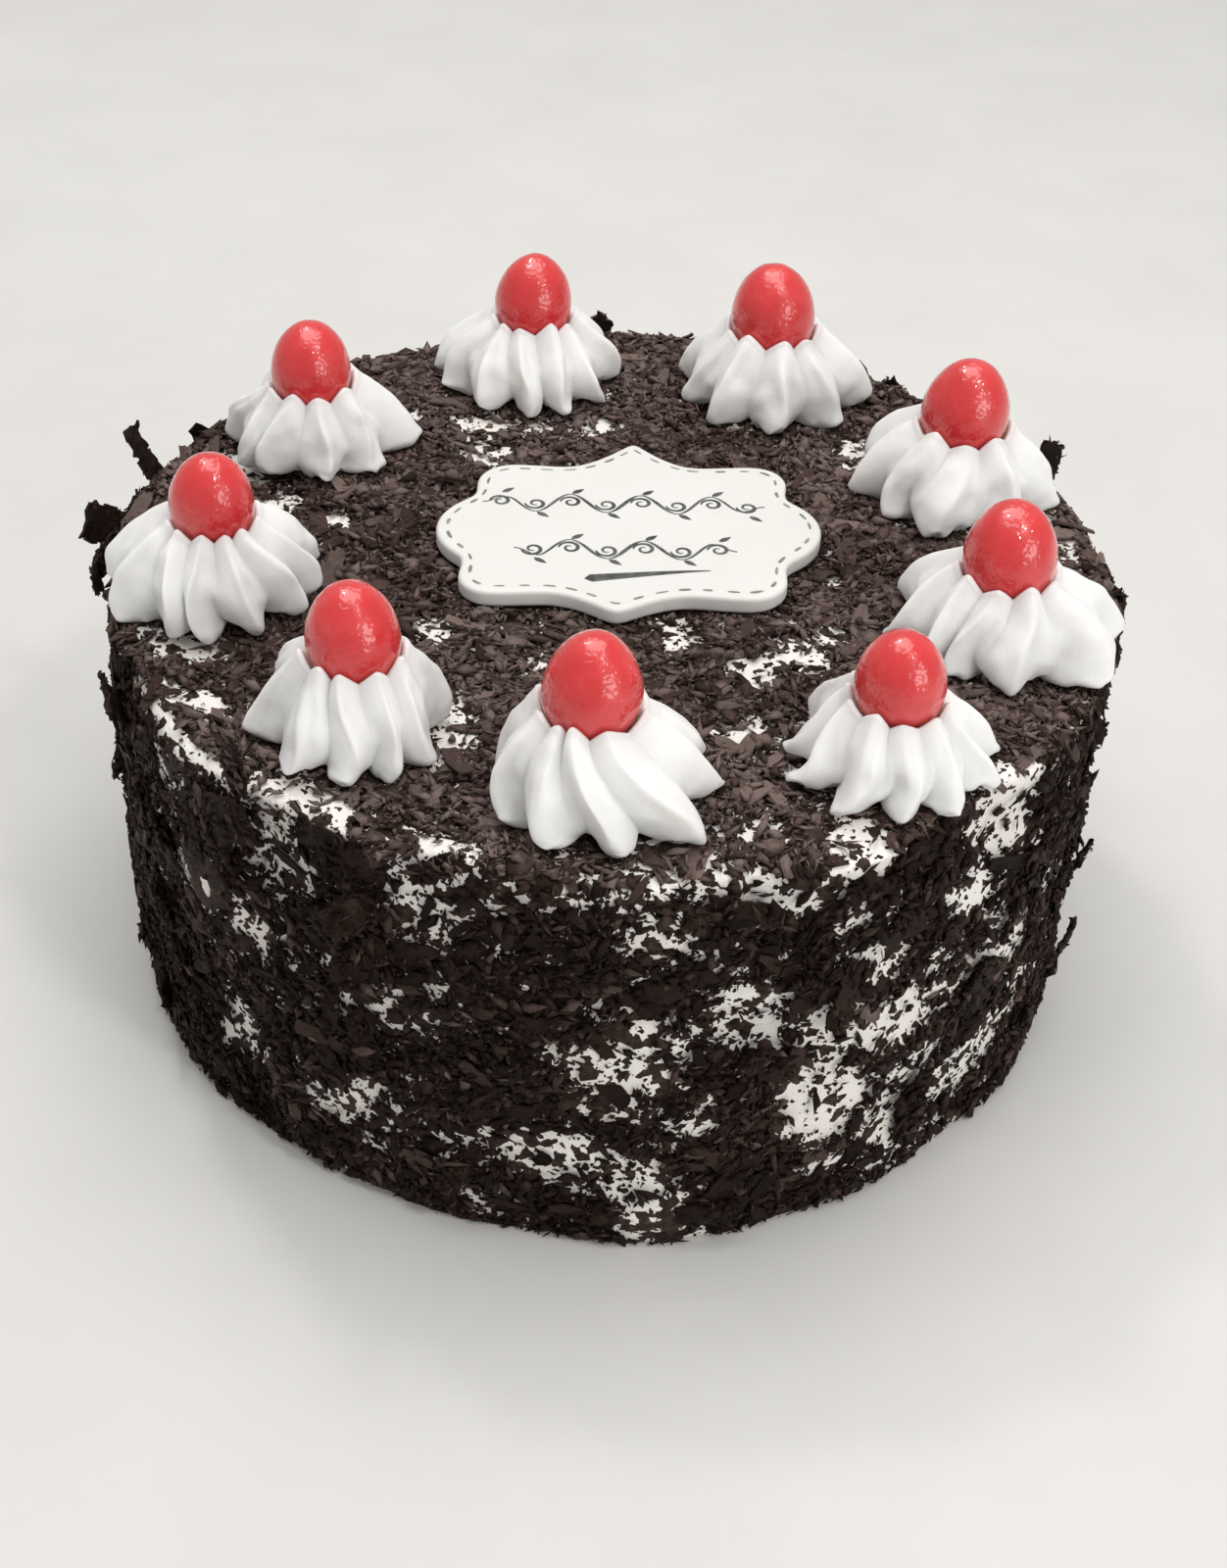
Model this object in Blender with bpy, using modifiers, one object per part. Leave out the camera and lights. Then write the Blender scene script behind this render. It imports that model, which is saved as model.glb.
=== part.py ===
"""A round black forest cake: a cream-coated cake bedded in dark chocolate shavings, a ring of nine
piped cream rosettes with a glace cherry pressed into each, and a scalloped sugar plaque.

Run it with: blender --background --python part.py
The origin is the middle of the cake's base, +Z is up and the front of the cake faces -Y.
"""

import math
import random
from typing import NamedTuple

import bmesh
import bpy
from mathutils import Matrix, Vector

MM = 0.001
FIT_GAP = 0.3 * MM

# The cake body: sponge, cream coat and the pressed bed of fine shavings, as one turned shape.
CAKE_RADIUS = 97.0 * MM
CAKE_HEIGHT = 88.0 * MM
RIM_ROUND = 3.2 * MM
BODY_STEPS = 68
SIDE_ROWS = 8
TOP_ROW_SHARES = [0.27, 0.48, 0.64, 0.77, 0.88]
FLOOR_CLEARANCE = 0.6 * MM

# The bed's unevenness is a sum of slow waves that cross the cake in spread directions.
RELIEF_WAVES = 9
RELIEF_DEPTH = 0.45 * MM
RELIEF_LONGEST = 60.0 * MM
RELIEF_SHORTEST = 19.0 * MM

# The cherries: egg shapes, a little narrower at the top.
CHERRY_RADIUS = 8.5 * MM
CHERRY_HALF_HEIGHT = 10.2 * MM
CHERRY_CENTRE = 19.0 * MM
CHERRY_NARROWING = 0.10
CHERRY_SEGMENTS = 12
CHERRY_RINGS = 8
CHERRY_LEAN = 4.0

# The rosettes: petal tips and valleys above the foot, the petals' wall and the cup round the cherry.
TIP_HEIGHT = 16.2 * MM
VALLEY_HEIGHT = 14.0 * MM
TIP_SPREAD = 0.9 * MM
PEAK_POWER = 1.5
PETAL_WALL = 1.2 * MM
CUP_GAP = 0.7 * MM
VALLEY_FOOT = 0.62
VALLEY_GAIN = 0.28
FOOT_ROUND = 0.13
FOOT_TUCK = 0.13
PETAL_ROWS = [0.0, 0.12, 0.38, 0.70, 1.0]
CUP_SHARES = [1.0, 0.68, 0.36]
STEPS_PER_LOBE = 4

# The plaque: half sizes, lobes and thickness, how much it grows to its right end, and how far it leans.
PLAQUE_HALF_WIDTH = 37.8 * MM
PLAQUE_HALF_DEPTH = 34.4 * MM
PLAQUE_FRONT_DEPTH = 30.2 * MM
PLAQUE_THICKNESS = 3.3 * MM
PLAQUE_EDGE_ROUND = 0.9 * MM
PLAQUE_PLACE = (1.8 * MM, 4.1 * MM)
PLAQUE_TURN = 2.2
PLAQUE_FLARE = 0.025
PLAQUE_SLANT = 0.075
SIDE_LOBE_RADIUS = 13.0 * MM
CORNER_LOBE_RADIUS = 7.0 * MM
CORNER_LOBE_PLACE = (24.4 * MM, 17.6 * MM)
OGEE_HALF_WIDTH = 13.0 * MM
OGEE_POWER = 1.6
ARC_STEPS = 5

# The shavings large enough to show as pieces.
SHAVING_SEED = 11
SIDE_SHAVINGS = 118
TOP_SHAVINGS = 40
SHAVING_THICKNESS = 0.8 * MM
SHAVING_ROOT = 0.3 * MM
LONGEST_SHAVING = 19.0 * MM
SHORTEST_SHAVING = 8.0 * MM
SHAVING_REACH = 101.5 * MM
TOPPING_CLEARANCE = 1.2 * MM
SPREAD_STEPS = (0.7548776662, 0.5698402910)
SPREAD_TRIES = 4
WELD_DISTANCE = 0.01 * MM

CHOCOLATE = ((0.045, 0.026, 0.020, 1.0), 0.55)
CREAM = ((0.90, 0.88, 0.85, 1.0), 0.50)
CHERRY_RED = ((0.62, 0.035, 0.045, 1.0), 0.18)
SUGAR = ((0.88, 0.87, 0.80, 1.0), 0.45)


class Rosette(NamedTuple):
    """A rosette's place on the ring, how much its petals twist from foot to tip, how far its cherry is
    raised, the cherry's share of the usual size, how far its petals bulge, where 1 falls straight from tip
    to foot, and each lobe's direction and reach, in mm and degrees.
    """

    angle: float
    ring: float
    twist: float
    lift: float
    cherry_share: float
    fullness: float
    lobes: list

    @property
    def place(self):
        turn = math.radians(self.angle)
        return Vector((self.ring * math.cos(turn), self.ring * math.sin(turn))) * MM

    @property
    def reach(self):
        return max(reach for _, reach in self.lobes) * MM


class Shaving(NamedTuple):
    """A shaving's seat on the bed and the line out of it, its size, and how it curls and lies."""

    seat: Vector
    outward: Vector
    length: float
    width: float
    curl: float
    turn: float
    tilt: float


ROSETTES = [
    Rosette(105.4, 73.5, -10, 0.0, 0.98, 1.9, [(4, 19), (42, 20), (82, 20), (124, 21), (166, 23), (206, 21),
                                               (237, 20), (267, 20), (299, 20), (333, 20)]),
    Rosette(64.8, 75.5, 8, 0.3, 1.07, 1.8, [(30, 22), (72, 20), (113, 20), (154, 21), (194, 20), (230, 21),
                                            (272, 20), (312, 22), (356, 24)]),
    Rosette(22.1, 74.5, 4, 0.3, 1.04, 1.7, [(38, 24), (75, 20), (105, 20), (134, 23), (180, 22), (220, 20),
                                            (253, 21), (300, 20), (348, 22)]),
    Rosette(-19.6, 75.5, 6, 0.0, 1.00, 1.7, [(5, 25), (47, 22), (90, 20), (135, 22), (176, 21), (208, 19),
                                             (238, 18), (275, 19), (318, 24)]),
    Rosette(-53.0, 80.0, 6, -1.8, 0.92, 1.3, [(13, 21), (55, 20), (95, 19), (131, 21), (166, 19), (196, 21),
                                              (235, 19), (267, 17), (303, 19), (340, 20)]),
    Rosette(-92.2, 74.0, -24, 1.4, 0.98, 2.0, [(8, 22), (36, 22), (75, 19), (108, 19), (139, 18), (180, 16),
                                               (226, 18), (254, 20), (284, 21), (321, 24)]),
    Rosette(-126.0, 73.5, 8, 0.0, 0.96, 1.45, [(12, 17), (55, 19), (100, 19), (148, 20), (192, 20), (234, 19),
                                               (264, 19), (295, 19), (324, 19)]),
    Rosette(-165.5, 76.0, -12, 0.5, 0.92, 1.9, [(2, 19), (40, 21), (80, 20), (125, 20), (169, 22), (215, 21),
                                                (248, 19), (275, 19), (304, 19), (334, 19)]),
    Rosette(149.8, 73.0, 6, -0.8, 0.96, 1.6, [(12, 23), (52, 21), (95, 20), (137, 20), (177, 20), (208, 18),
                                              (238, 17), (281, 16), (322, 18)]),
]

# Curls that stand off the rim and the side: angle, height, length and width in mm, then curl, turn, tilt.
LARGE_CURLS = [
    (174, 82, 16, 8, -25, 40, 30),
    (164, 84, 15, 6, -30, 80, 30),
    (-155, 76, 13, 8, -30, 60, 32),
    (-136, 76, 20, 10, -40, 20, 16),
    (-112, 80, 20, 12, -50, 175, 14),
    (-20, 14, 13, 7, -30, 60, 28),
    (-47, 34, 17, 7, -20, 60, 12),
]


def clear_scene():
    for obj in list(bpy.data.objects):
        bpy.data.objects.remove(obj)


def new_collection(name):
    collection = bpy.data.collections.new(name)
    bpy.context.scene.collection.children.link(collection)
    return collection


def material(name, look):
    colour, roughness = look
    made = bpy.data.materials.new(name)
    made.use_nodes = True
    shader = made.node_tree.nodes["Principled BSDF"]
    shader.inputs["Base Color"].default_value = colour
    shader.inputs["Roughness"].default_value = roughness
    shader.inputs["Metallic"].default_value = 0.0
    return made


def add_object(name, mesh, collection, finish=None):
    obj = bpy.data.objects.new(name, mesh)
    collection.objects.link(obj)
    if finish:
        mesh.materials.append(finish)
    return obj


def mesh_from(name, shape):
    mesh = bpy.data.meshes.new(name)
    shape.to_mesh(mesh)
    shape.free()
    return mesh


def bed_relief(point):
    """How far the bed stands proud at a point of the body."""
    total = 0.0
    for wave in range(RELIEF_WAVES):
        share = wave / (RELIEF_WAVES - 1)
        length = RELIEF_LONGEST + (RELIEF_SHORTEST - RELIEF_LONGEST) * share
        lean, turn = 1 - 2 * share, 2.4 * wave
        flat = math.sqrt(1 - 0.8 * lean * lean)
        way = Vector((flat * math.cos(turn), flat * math.sin(turn), 0.9 * lean))
        total += math.sin(math.tau * way.dot(point) / length + 1.7 * wave)
    return RELIEF_DEPTH * total


def clear_of_toppings(x, y, clearance):
    """Whether a place on the top is clear of the rosettes and the plaque."""
    spot = Vector((x, y))
    if any((spot - rosette.place).length < rosette.reach + clearance for rosette in ROSETTES):
        return False
    across = (x - PLAQUE_PLACE[0]) / (PLAQUE_HALF_WIDTH + clearance)
    down = (y - PLAQUE_PLACE[1]) / (PLAQUE_HALF_DEPTH + clearance)
    return across**2 + down**2 > 1.0


def side_surface(angle, height):
    """The bed's point and outward line on the side."""
    outward = Vector((math.cos(angle), math.sin(angle), 0))
    point = outward * CAKE_RADIUS + Vector((0, 0, height))
    return point + outward * bed_relief(point), outward


def top_surface(angle, radius):
    """The bed's point and outward line on the top, which only dips, and stays flat below a topping."""
    point = Vector((radius * math.cos(angle), radius * math.sin(angle), CAKE_HEIGHT))
    if clear_of_toppings(point.x, point.y, 0):
        point.z -= 0.6 * abs(bed_relief(point))
    return point, Vector((0, 0, 1))


def body_profile():
    """The cake's outer line in X and Z, from the axis at the top, down the side, to the axis below."""
    flat = CAKE_RADIUS - RIM_ROUND
    points = [(0.0, CAKE_HEIGHT)]
    points += [(share * CAKE_RADIUS, CAKE_HEIGHT) for share in TOP_ROW_SHARES]
    for step in range(3):
        turn = math.radians(90 - 45 * step)
        points.append((flat + RIM_ROUND * math.cos(turn), CAKE_HEIGHT - RIM_ROUND * (1 - math.sin(turn))))
    side_top = CAKE_HEIGHT - RIM_ROUND
    points += [(CAKE_RADIUS, side_top * (1 - row / SIDE_ROWS)) for row in range(1, SIDE_ROWS + 1)]
    points.append((0.0, 0.0))
    return points


def cake_body(collection, finish):
    """The turned cake with the uneven bed of shavings pressed on it."""
    points = body_profile()
    outline = bpy.data.meshes.new("cake_profile")
    outline.from_pydata([(x, 0, z) for x, z in points], [(i, i + 1) for i in range(len(points) - 1)], [])
    turned = add_object("cake_profile", outline, collection)
    screw = turned.modifiers.new("turn", "SCREW")
    screw.axis = "Z"
    screw.steps = screw.render_steps = BODY_STEPS
    screw.use_merge_vertices = True
    screw.merge_threshold = 0.0001
    bpy.context.view_layer.update()
    mesh = bpy.data.meshes.new_from_object(turned.evaluated_get(bpy.context.evaluated_depsgraph_get()))
    bpy.data.objects.remove(turned)
    for vertex in mesh.vertices:
        x, y, z = vertex.co
        angle, radius = math.atan2(y, x), math.hypot(x, y)
        if z > CAKE_HEIGHT - 0.1 * RIM_ROUND:
            vertex.co = top_surface(angle, radius)[0]
        elif radius > 0.5 * CAKE_RADIUS:
            outward = Vector((x, y, 0)).normalized()
            vertex.co += outward * bed_relief(vertex.co)
    mesh.name = "cake"
    return add_object("cake", mesh, collection, finish)


def shaving_mesh(shaving, rng):
    """A chip of chocolate rooted at the origin: a ragged strip that bends along its length."""
    steps = 1 + round(abs(shaving.curl) * shaving.length / (9 * MM))
    shape = bmesh.new()
    bmesh.ops.create_grid(shape, x_segments=steps, y_segments=1, size=0.5)
    radius = shaving.length / shaving.curl
    for vertex in shape.verts:
        along = (vertex.co.x + 0.5) * rng.uniform(0.85, 1.0) * shaving.length
        across = vertex.co.y * rng.uniform(0.7, 1.1) * shaving.width
        turn = along / radius
        vertex.co = Vector((radius * math.sin(turn), across, radius * (1 - math.cos(turn))))
    bmesh.ops.recalc_face_normals(shape, faces=shape.faces)
    bmesh.ops.solidify(shape, geom=shape.faces[:], thickness=SHAVING_THICKNESS)
    bmesh.ops.recalc_face_normals(shape, faces=shape.faces)
    return mesh_from("shaving", shape)


def shaving_transform(shaving):
    """Roots a chip in the bed at its seat, turned about the outward line and tilted out of the bed."""
    lift = shaving.outward.to_track_quat("Z", "Y").to_matrix().to_4x4()
    sunk = Matrix.Translation(shaving.seat - shaving.outward * SHAVING_ROOT)
    turned = Matrix.Rotation(shaving.turn, 4, "Z") @ Matrix.Rotation(-shaving.tilt, 4, "Y")
    return sunk @ lift @ turned


def stands_clear(corners):
    """Whether a chip keeps off the floor and the toppings, and inside the cake's reach."""
    for corner in corners:
        if corner.z < FLOOR_CLEARANCE or math.hypot(corner.x, corner.y) > SHAVING_REACH:
            return False
        if corner.z > CAKE_HEIGHT - FIT_GAP and not clear_of_toppings(corner.x, corner.y, TOPPING_CLEARANCE):
            return False
    return True


def large_curls():
    """The few curls that stand out most, each placed on its own."""
    for angle, height, length, width, curl, turn, tilt in LARGE_CURLS:
        seat, outward = side_surface(math.radians(angle), height * MM)
        yield Shaving(seat, outward, length * MM, width * MM, *map(math.radians, (curl, turn, tilt)))


def spread_shavings(surface, count, rng):
    """Shavings spread evenly over the side or the top, the largest first."""
    for index in range(count):
        share = index / count
        first, second = (math.modf((index + 0.5) * step)[0] for step in SPREAD_STEPS)
        length = LONGEST_SHAVING + (SHORTEST_SHAVING - LONGEST_SHAVING) * share**0.5
        width = length * rng.uniform(0.3, 0.5)
        curl = rng.choice((-1, 1)) * rng.uniform(0.1, 0.5)
        turn, tilt = rng.uniform(0, math.tau), math.radians(rng.uniform(3, 11))
        if surface is side_surface:
            seat, outward = side_surface(math.tau * first, (0.03 + 0.95 * second) * CAKE_HEIGHT)
        else:
            seat, outward = top_surface(math.tau * first, math.sqrt(second) * 0.99 * CAKE_RADIUS)
        yield Shaving(seat, outward, length, width, curl, turn, tilt)


def add_shavings(collection):
    """Fills the collection with the chips: the large curls, then the side's and the top's."""
    rng = random.Random(SHAVING_SEED)
    for shaving in large_curls():
        chip = add_object("shaving", shaving_mesh(shaving, rng), collection)
        chip.matrix_world = shaving_transform(shaving)
    for surface, wanted in ((side_surface, SIDE_SHAVINGS), (top_surface, TOP_SHAVINGS)):
        laid = 0
        for shaving in spread_shavings(surface, SPREAD_TRIES * wanted, rng):
            mesh = shaving_mesh(shaving, rng)
            place = shaving_transform(shaving)
            if laid < wanted and stands_clear([place @ vertex.co for vertex in mesh.vertices]):
                add_object("shaving", mesh, collection).matrix_world = place
                laid += 1


def keep_largest_piece(body):
    """Welds the union's slivers, then drops the scraps and hollows that it leaves loose."""
    shape = bmesh.new()
    shape.from_mesh(body.data)
    bmesh.ops.remove_doubles(shape, verts=shape.verts, dist=WELD_DISTANCE)
    unseen, largest = set(shape.faces), set()
    while unseen:
        piece, edge = set(), {next(iter(unseen))}
        while edge:
            piece |= edge
            edge = {near for face in edge for side in face.edges for near in side.link_faces} - piece
        unseen -= piece
        largest = max(largest, piece, key=len)
    bmesh.ops.delete(shape, geom=[face for face in shape.faces if face not in largest], context="FACES")
    shape.to_mesh(body.data)
    shape.free()


def fuse_shavings(body):
    """Joins the chips to the body in one union, and removes them."""
    chips = new_collection("shavings")
    add_shavings(chips)
    union = body.modifiers.new("fuse", "BOOLEAN")
    union.operation = "UNION"
    union.operand_type = "COLLECTION"
    union.collection = chips
    union.solver = "EXACT"
    bpy.context.view_layer.objects.active = body
    bpy.ops.object.modifier_apply(modifier=union.name)
    for chip in list(chips.objects):
        bpy.data.objects.remove(chip)
    bpy.data.collections.remove(chips)
    keep_largest_piece(body)


def egg_radius(rise):
    """A cherry's radius at a height, both as shares of its half height and radius."""
    return math.sqrt(1 - rise * rise) * (1 - CHERRY_NARROWING * rise)


def cup_point(rosette, lip_height, share):
    """The cup's radius and height at a share of the way from its bottom to its lip, by angle."""
    half_height = CHERRY_HALF_HEIGHT * rosette.cherry_share
    centre = CHERRY_CENTRE + rosette.lift * MM
    turn = share * math.acos((centre - lip_height) / half_height)
    radius = CHERRY_RADIUS * rosette.cherry_share * egg_radius(-math.cos(turn))
    return radius + CUP_GAP * math.sin(turn), centre - (half_height + CUP_GAP) * math.cos(turn)


def petal_column(rosette, column, tips):
    """One column of a rosette from its foot to its tip and down into the cup."""
    count = len(rosette.lobes)
    lobe = column // STEPS_PER_LOBE
    phase = column / STEPS_PER_LOBE - lobe
    here, following = rosette.lobes[lobe], rosette.lobes[(lobe + 1) % count]
    step = (following[0] - here[0]) % 360
    nearest = lobe if phase <= 0.5 else (lobe + 1) % count
    crest = abs(math.cos(math.pi * phase)) ** 0.8
    peak = 1 - (1 - abs(2 * phase - 1)) ** PEAK_POWER
    lip_height = VALLEY_HEIGHT + (TIP_HEIGHT + tips[nearest] - VALLEY_HEIGHT) * peak + rosette.lift * MM
    mean_reach = here[1] + (following[1] - here[1]) * phase
    lip_radius, lip_top = cup_point(rosette, lip_height, 1.0)
    lip_radius += PETAL_WALL
    profile = []
    for share in PETAL_ROWS:
        valley_share = VALLEY_FOOT + VALLEY_GAIN * (1 - (1 - share) ** 2)
        reach = MM * (rosette.lobes[nearest][1] * crest + valley_share * mean_reach * (1 - crest))
        tuck = 1 - FOOT_TUCK * max(0.0, 1 - share / FOOT_ROUND) ** 2
        radius = tuck * (lip_radius + (reach - lip_radius) * (1 - share**rosette.fullness))
        profile.append((radius, share * lip_top, share))
    profile += [(*cup_point(rosette, lip_height, share), 1.0) for share in CUP_SHARES]
    points = []
    for radius, height, share in profile:
        turn = math.radians(here[0] + step * phase + rosette.twist * share)
        points.append(Vector((radius * math.cos(turn), radius * math.sin(turn), height)))
    return points


def rosette_object(name, rosette, collection, finish):
    """One piped rosette: a loft over its petals and into its cup, closed below and in the cup."""
    rng = random.Random(name)
    tips = [rng.uniform(-1, 1) * TIP_SPREAD for _ in rosette.lobes]
    count = len(rosette.lobes) * STEPS_PER_LOBE
    shape = bmesh.new()
    columns = [[shape.verts.new(p) for p in petal_column(rosette, c, tips)] for c in range(count)]
    foot_centre = shape.verts.new((0, 0, 0))
    cup_centre = shape.verts.new((0, 0, cup_point(rosette, VALLEY_HEIGHT, 0.0)[1]))
    for here, following in zip(columns, columns[1:] + columns[:1]):
        shape.faces.new((foot_centre, following[0], here[0]))
        shape.faces.new((here[-1], following[-1], cup_centre))
        for row in range(len(here) - 1):
            shape.faces.new((here[row], following[row], following[row + 1], here[row + 1]))
    mesh = mesh_from(name, shape)
    mesh.shade_smooth()
    mesh.set_sharp_from_angle(angle=math.radians(60))
    obj = add_object(name, mesh, collection, finish)
    obj.location = (*rosette.place, CAKE_HEIGHT + FIT_GAP)
    return obj


def cherry(name, rosette, seat, lean_turn, finish):
    """A glace cherry in its cup, leaning a little, parented to the rosette that carries it."""
    shape = bmesh.new()
    bmesh.ops.create_uvsphere(shape, u_segments=CHERRY_SEGMENTS, v_segments=CHERRY_RINGS, radius=1)
    for vertex in shape.verts:
        height = vertex.co.z
        vertex.co.xy *= CHERRY_RADIUS * (1 - CHERRY_NARROWING * height)
        vertex.co.z = CHERRY_HALF_HEIGHT * height
        vertex.co *= rosette.cherry_share
    lean_axis = Vector((math.cos(lean_turn), math.sin(lean_turn), 0))
    raised = Matrix.Translation((0, 0, CHERRY_CENTRE + rosette.lift * MM))
    lean = Matrix.Rotation(math.radians(CHERRY_LEAN), 4, lean_axis)
    bmesh.ops.transform(shape, matrix=raised @ lean, verts=shape.verts)
    mesh = mesh_from(name, shape)
    mesh.shade_smooth()
    obj = add_object(name, mesh, seat.users_collection[0], finish)
    obj.parent = seat
    return obj


def arc(centre, radius, start, end):
    """Points along an arc, angles in degrees."""
    turns = [math.radians(start + (end - start) * i / ARC_STEPS) for i in range(ARC_STEPS + 1)]
    return [(centre[0] + radius * math.cos(t), centre[1] + radius * math.sin(t)) for t in turns]


def plaque_quarter(depth):
    """A quarter of the plaque's outline, from its side lobe round the corner lobe to the point."""
    side_lobe = arc((PLAQUE_HALF_WIDTH - SIDE_LOBE_RADIUS, 0.0), SIDE_LOBE_RADIUS, 0, 62)
    corner_lobe = arc(CORNER_LOBE_PLACE, CORNER_LOBE_RADIUS, -22, 98)
    neck_height = corner_lobe[-1][1] - 0.9 * MM
    ogee = []
    for step in range(ARC_STEPS + 1):
        share = step / ARC_STEPS
        height = neck_height + (depth - neck_height) * share**OGEE_POWER
        ogee.append((OGEE_HALF_WIDTH * (1 - share), height))
    return side_lobe + corner_lobe + ogee


def plaque_half(depth):
    """Half of the plaque's outline, mirrored from its quarter."""
    quarter = plaque_quarter(depth)
    return quarter + [(-x, y) for x, y in reversed(quarter[:-1])]


def plaque_outline():
    """The whole outline, going round once: larger to its right end and leaning to the right."""
    front = [(x, -y) for x, y in reversed(plaque_half(PLAQUE_FRONT_DEPTH)[1:-1])]
    outline = []
    for x, y in plaque_half(PLAQUE_HALF_DEPTH) + front:
        flare = 1 + PLAQUE_FLARE * x / PLAQUE_HALF_WIDTH
        outline.append((flare * x + PLAQUE_SLANT * flare * y, flare * y))
    return outline


def plaque(collection, finish):
    """The sugar plaque: its filled outline drawn up to its thickness, with a rounded edge."""
    points = plaque_outline()
    curve = bpy.data.curves.new("plaque", "CURVE")
    curve.dimensions = "2D"
    curve.fill_mode = "BOTH"
    curve.extrude = 0.5 * PLAQUE_THICKNESS - PLAQUE_EDGE_ROUND
    curve.bevel_depth = PLAQUE_EDGE_ROUND
    curve.bevel_resolution = 0
    curve.offset = -PLAQUE_EDGE_ROUND
    spline = curve.splines.new("POLY")
    spline.points.add(len(points) - 1)
    for point, (x, y) in zip(spline.points, points):
        point.co = (x, y, 0, 1)
    spline.use_cyclic_u = True
    curve.materials.append(finish)
    obj = bpy.data.objects.new("plaque", curve)
    collection.objects.link(obj)
    obj.location = (*PLAQUE_PLACE, CAKE_HEIGHT + FIT_GAP + 0.5 * PLAQUE_THICKNESS)
    obj.rotation_euler = (0, 0, math.radians(PLAQUE_TURN))


def main():
    clear_scene()
    cake_collection = new_collection("black_forest_cake")
    cream = material("cream", CREAM)
    red = material("cherry", CHERRY_RED)
    body = cake_body(cake_collection, material("chocolate", CHOCOLATE))
    fuse_shavings(body)
    for index, row in enumerate(ROSETTES, start=1):
        seat = rosette_object(f"rosette_{index}", row, cake_collection, cream)
        cherry(f"cherry_{index}", row, seat, 2.4 * index, red)
    plaque(cake_collection, material("sugar", SUGAR))


main()
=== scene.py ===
"""Dresses a black forest cake: the bed of dark chocolate shavings over cream, nine piped rosettes with a
glace cherry pressed into each, and the scalloped sugar plaque with its stitched border and pen scrolls.

Lengths are in metres unless a name or comment says mm. +Z is up and the front of the cake faces -Y.
"""

import logging
import math
import random
from collections.abc import Callable
from dataclasses import dataclass, field
from enum import Enum

import bpy
import numpy as np
from mathutils import Matrix, Vector


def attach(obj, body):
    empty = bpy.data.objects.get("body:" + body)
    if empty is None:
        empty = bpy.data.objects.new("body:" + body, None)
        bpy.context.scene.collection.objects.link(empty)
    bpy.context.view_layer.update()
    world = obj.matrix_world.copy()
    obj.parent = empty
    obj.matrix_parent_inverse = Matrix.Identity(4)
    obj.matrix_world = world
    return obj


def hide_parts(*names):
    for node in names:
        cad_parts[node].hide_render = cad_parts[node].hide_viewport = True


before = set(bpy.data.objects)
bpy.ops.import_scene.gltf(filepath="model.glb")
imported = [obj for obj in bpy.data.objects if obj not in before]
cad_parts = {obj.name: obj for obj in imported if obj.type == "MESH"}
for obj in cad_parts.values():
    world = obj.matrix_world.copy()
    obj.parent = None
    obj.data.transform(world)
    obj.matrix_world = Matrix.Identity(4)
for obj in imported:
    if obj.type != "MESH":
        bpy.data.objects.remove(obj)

LOG = logging.getLogger("black_forest_cake")
MM = 0.001
GOLDEN_TURN = 2.4
FIT_GAP = 0.3 * MM


class Slot(Enum):
    """The record's material slots."""

    CHOCOLATE = "chocolate"
    CREAM = "cream"
    CHERRY = "cherry"
    SUGAR = "sugar"


class Face(Enum):
    """What shavings are strewn on: the cake's side, its top, and the large shavings themselves."""

    SIDE = "side"
    TOP = "top"
    PLATES = "plates"


def lattice_share(cells: np.ndarray, seed: int) -> np.ndarray:
    """Gives each whole-number cell a random share: its numbers times large odd factors, mixed by shifts.

    Args:
        cells: Whole numbers, three along the last axis.
        seed: Picks one of many such fields.

    Returns:
        Shares from 0 to 1, one for each cell.
    """
    parts = cells.astype(np.int64).astype(np.uint64)
    mixed = parts[..., 0] * np.uint64(73856093) ^ parts[..., 1] * np.uint64(19349663)
    mixed ^= parts[..., 2] * np.uint64(83492791) ^ np.uint64(seed * 2654435761)
    mixed ^= mixed >> np.uint64(13)
    mixed *= np.uint64(1274126177)
    mixed &= np.uint64(0xFFFFFFFF)
    mixed ^= mixed >> np.uint64(16)
    return (mixed & np.uint64(0xFFFF)).astype(float) / 0xFFFF


def soft_noise(points: np.ndarray, grain: float, seed: int) -> np.ndarray:
    """Smooth noise: random values at the corners of a lattice, blended by three squares less two cubes.

    Args:
        points: Places, three numbers along the last axis.
        grain: The lattice's spacing.
        seed: Picks the field.

    Returns:
        Values from -1 to 1, one for each place.
    """
    scaled = points / grain
    cell = np.floor(scaled)
    part = scaled - cell
    part = part * part * (3 - 2 * part)
    total = np.zeros(points.shape[:-1])
    for corner in np.ndindex(2, 2, 2):
        weight = np.prod(np.where(np.array(corner, bool), part, 1 - part), axis=-1)
        total += weight * lattice_share(cell + corner, seed)
    return 2 * total - 1


def smooth_step(value: np.ndarray, low: float, high: float) -> np.ndarray:
    """Rises from 0 at low to 1 at high as three squares less two cubes."""
    share = np.clip((value - low) / (high - low), 0, 1)
    return share * share * (3 - 2 * share)


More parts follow.
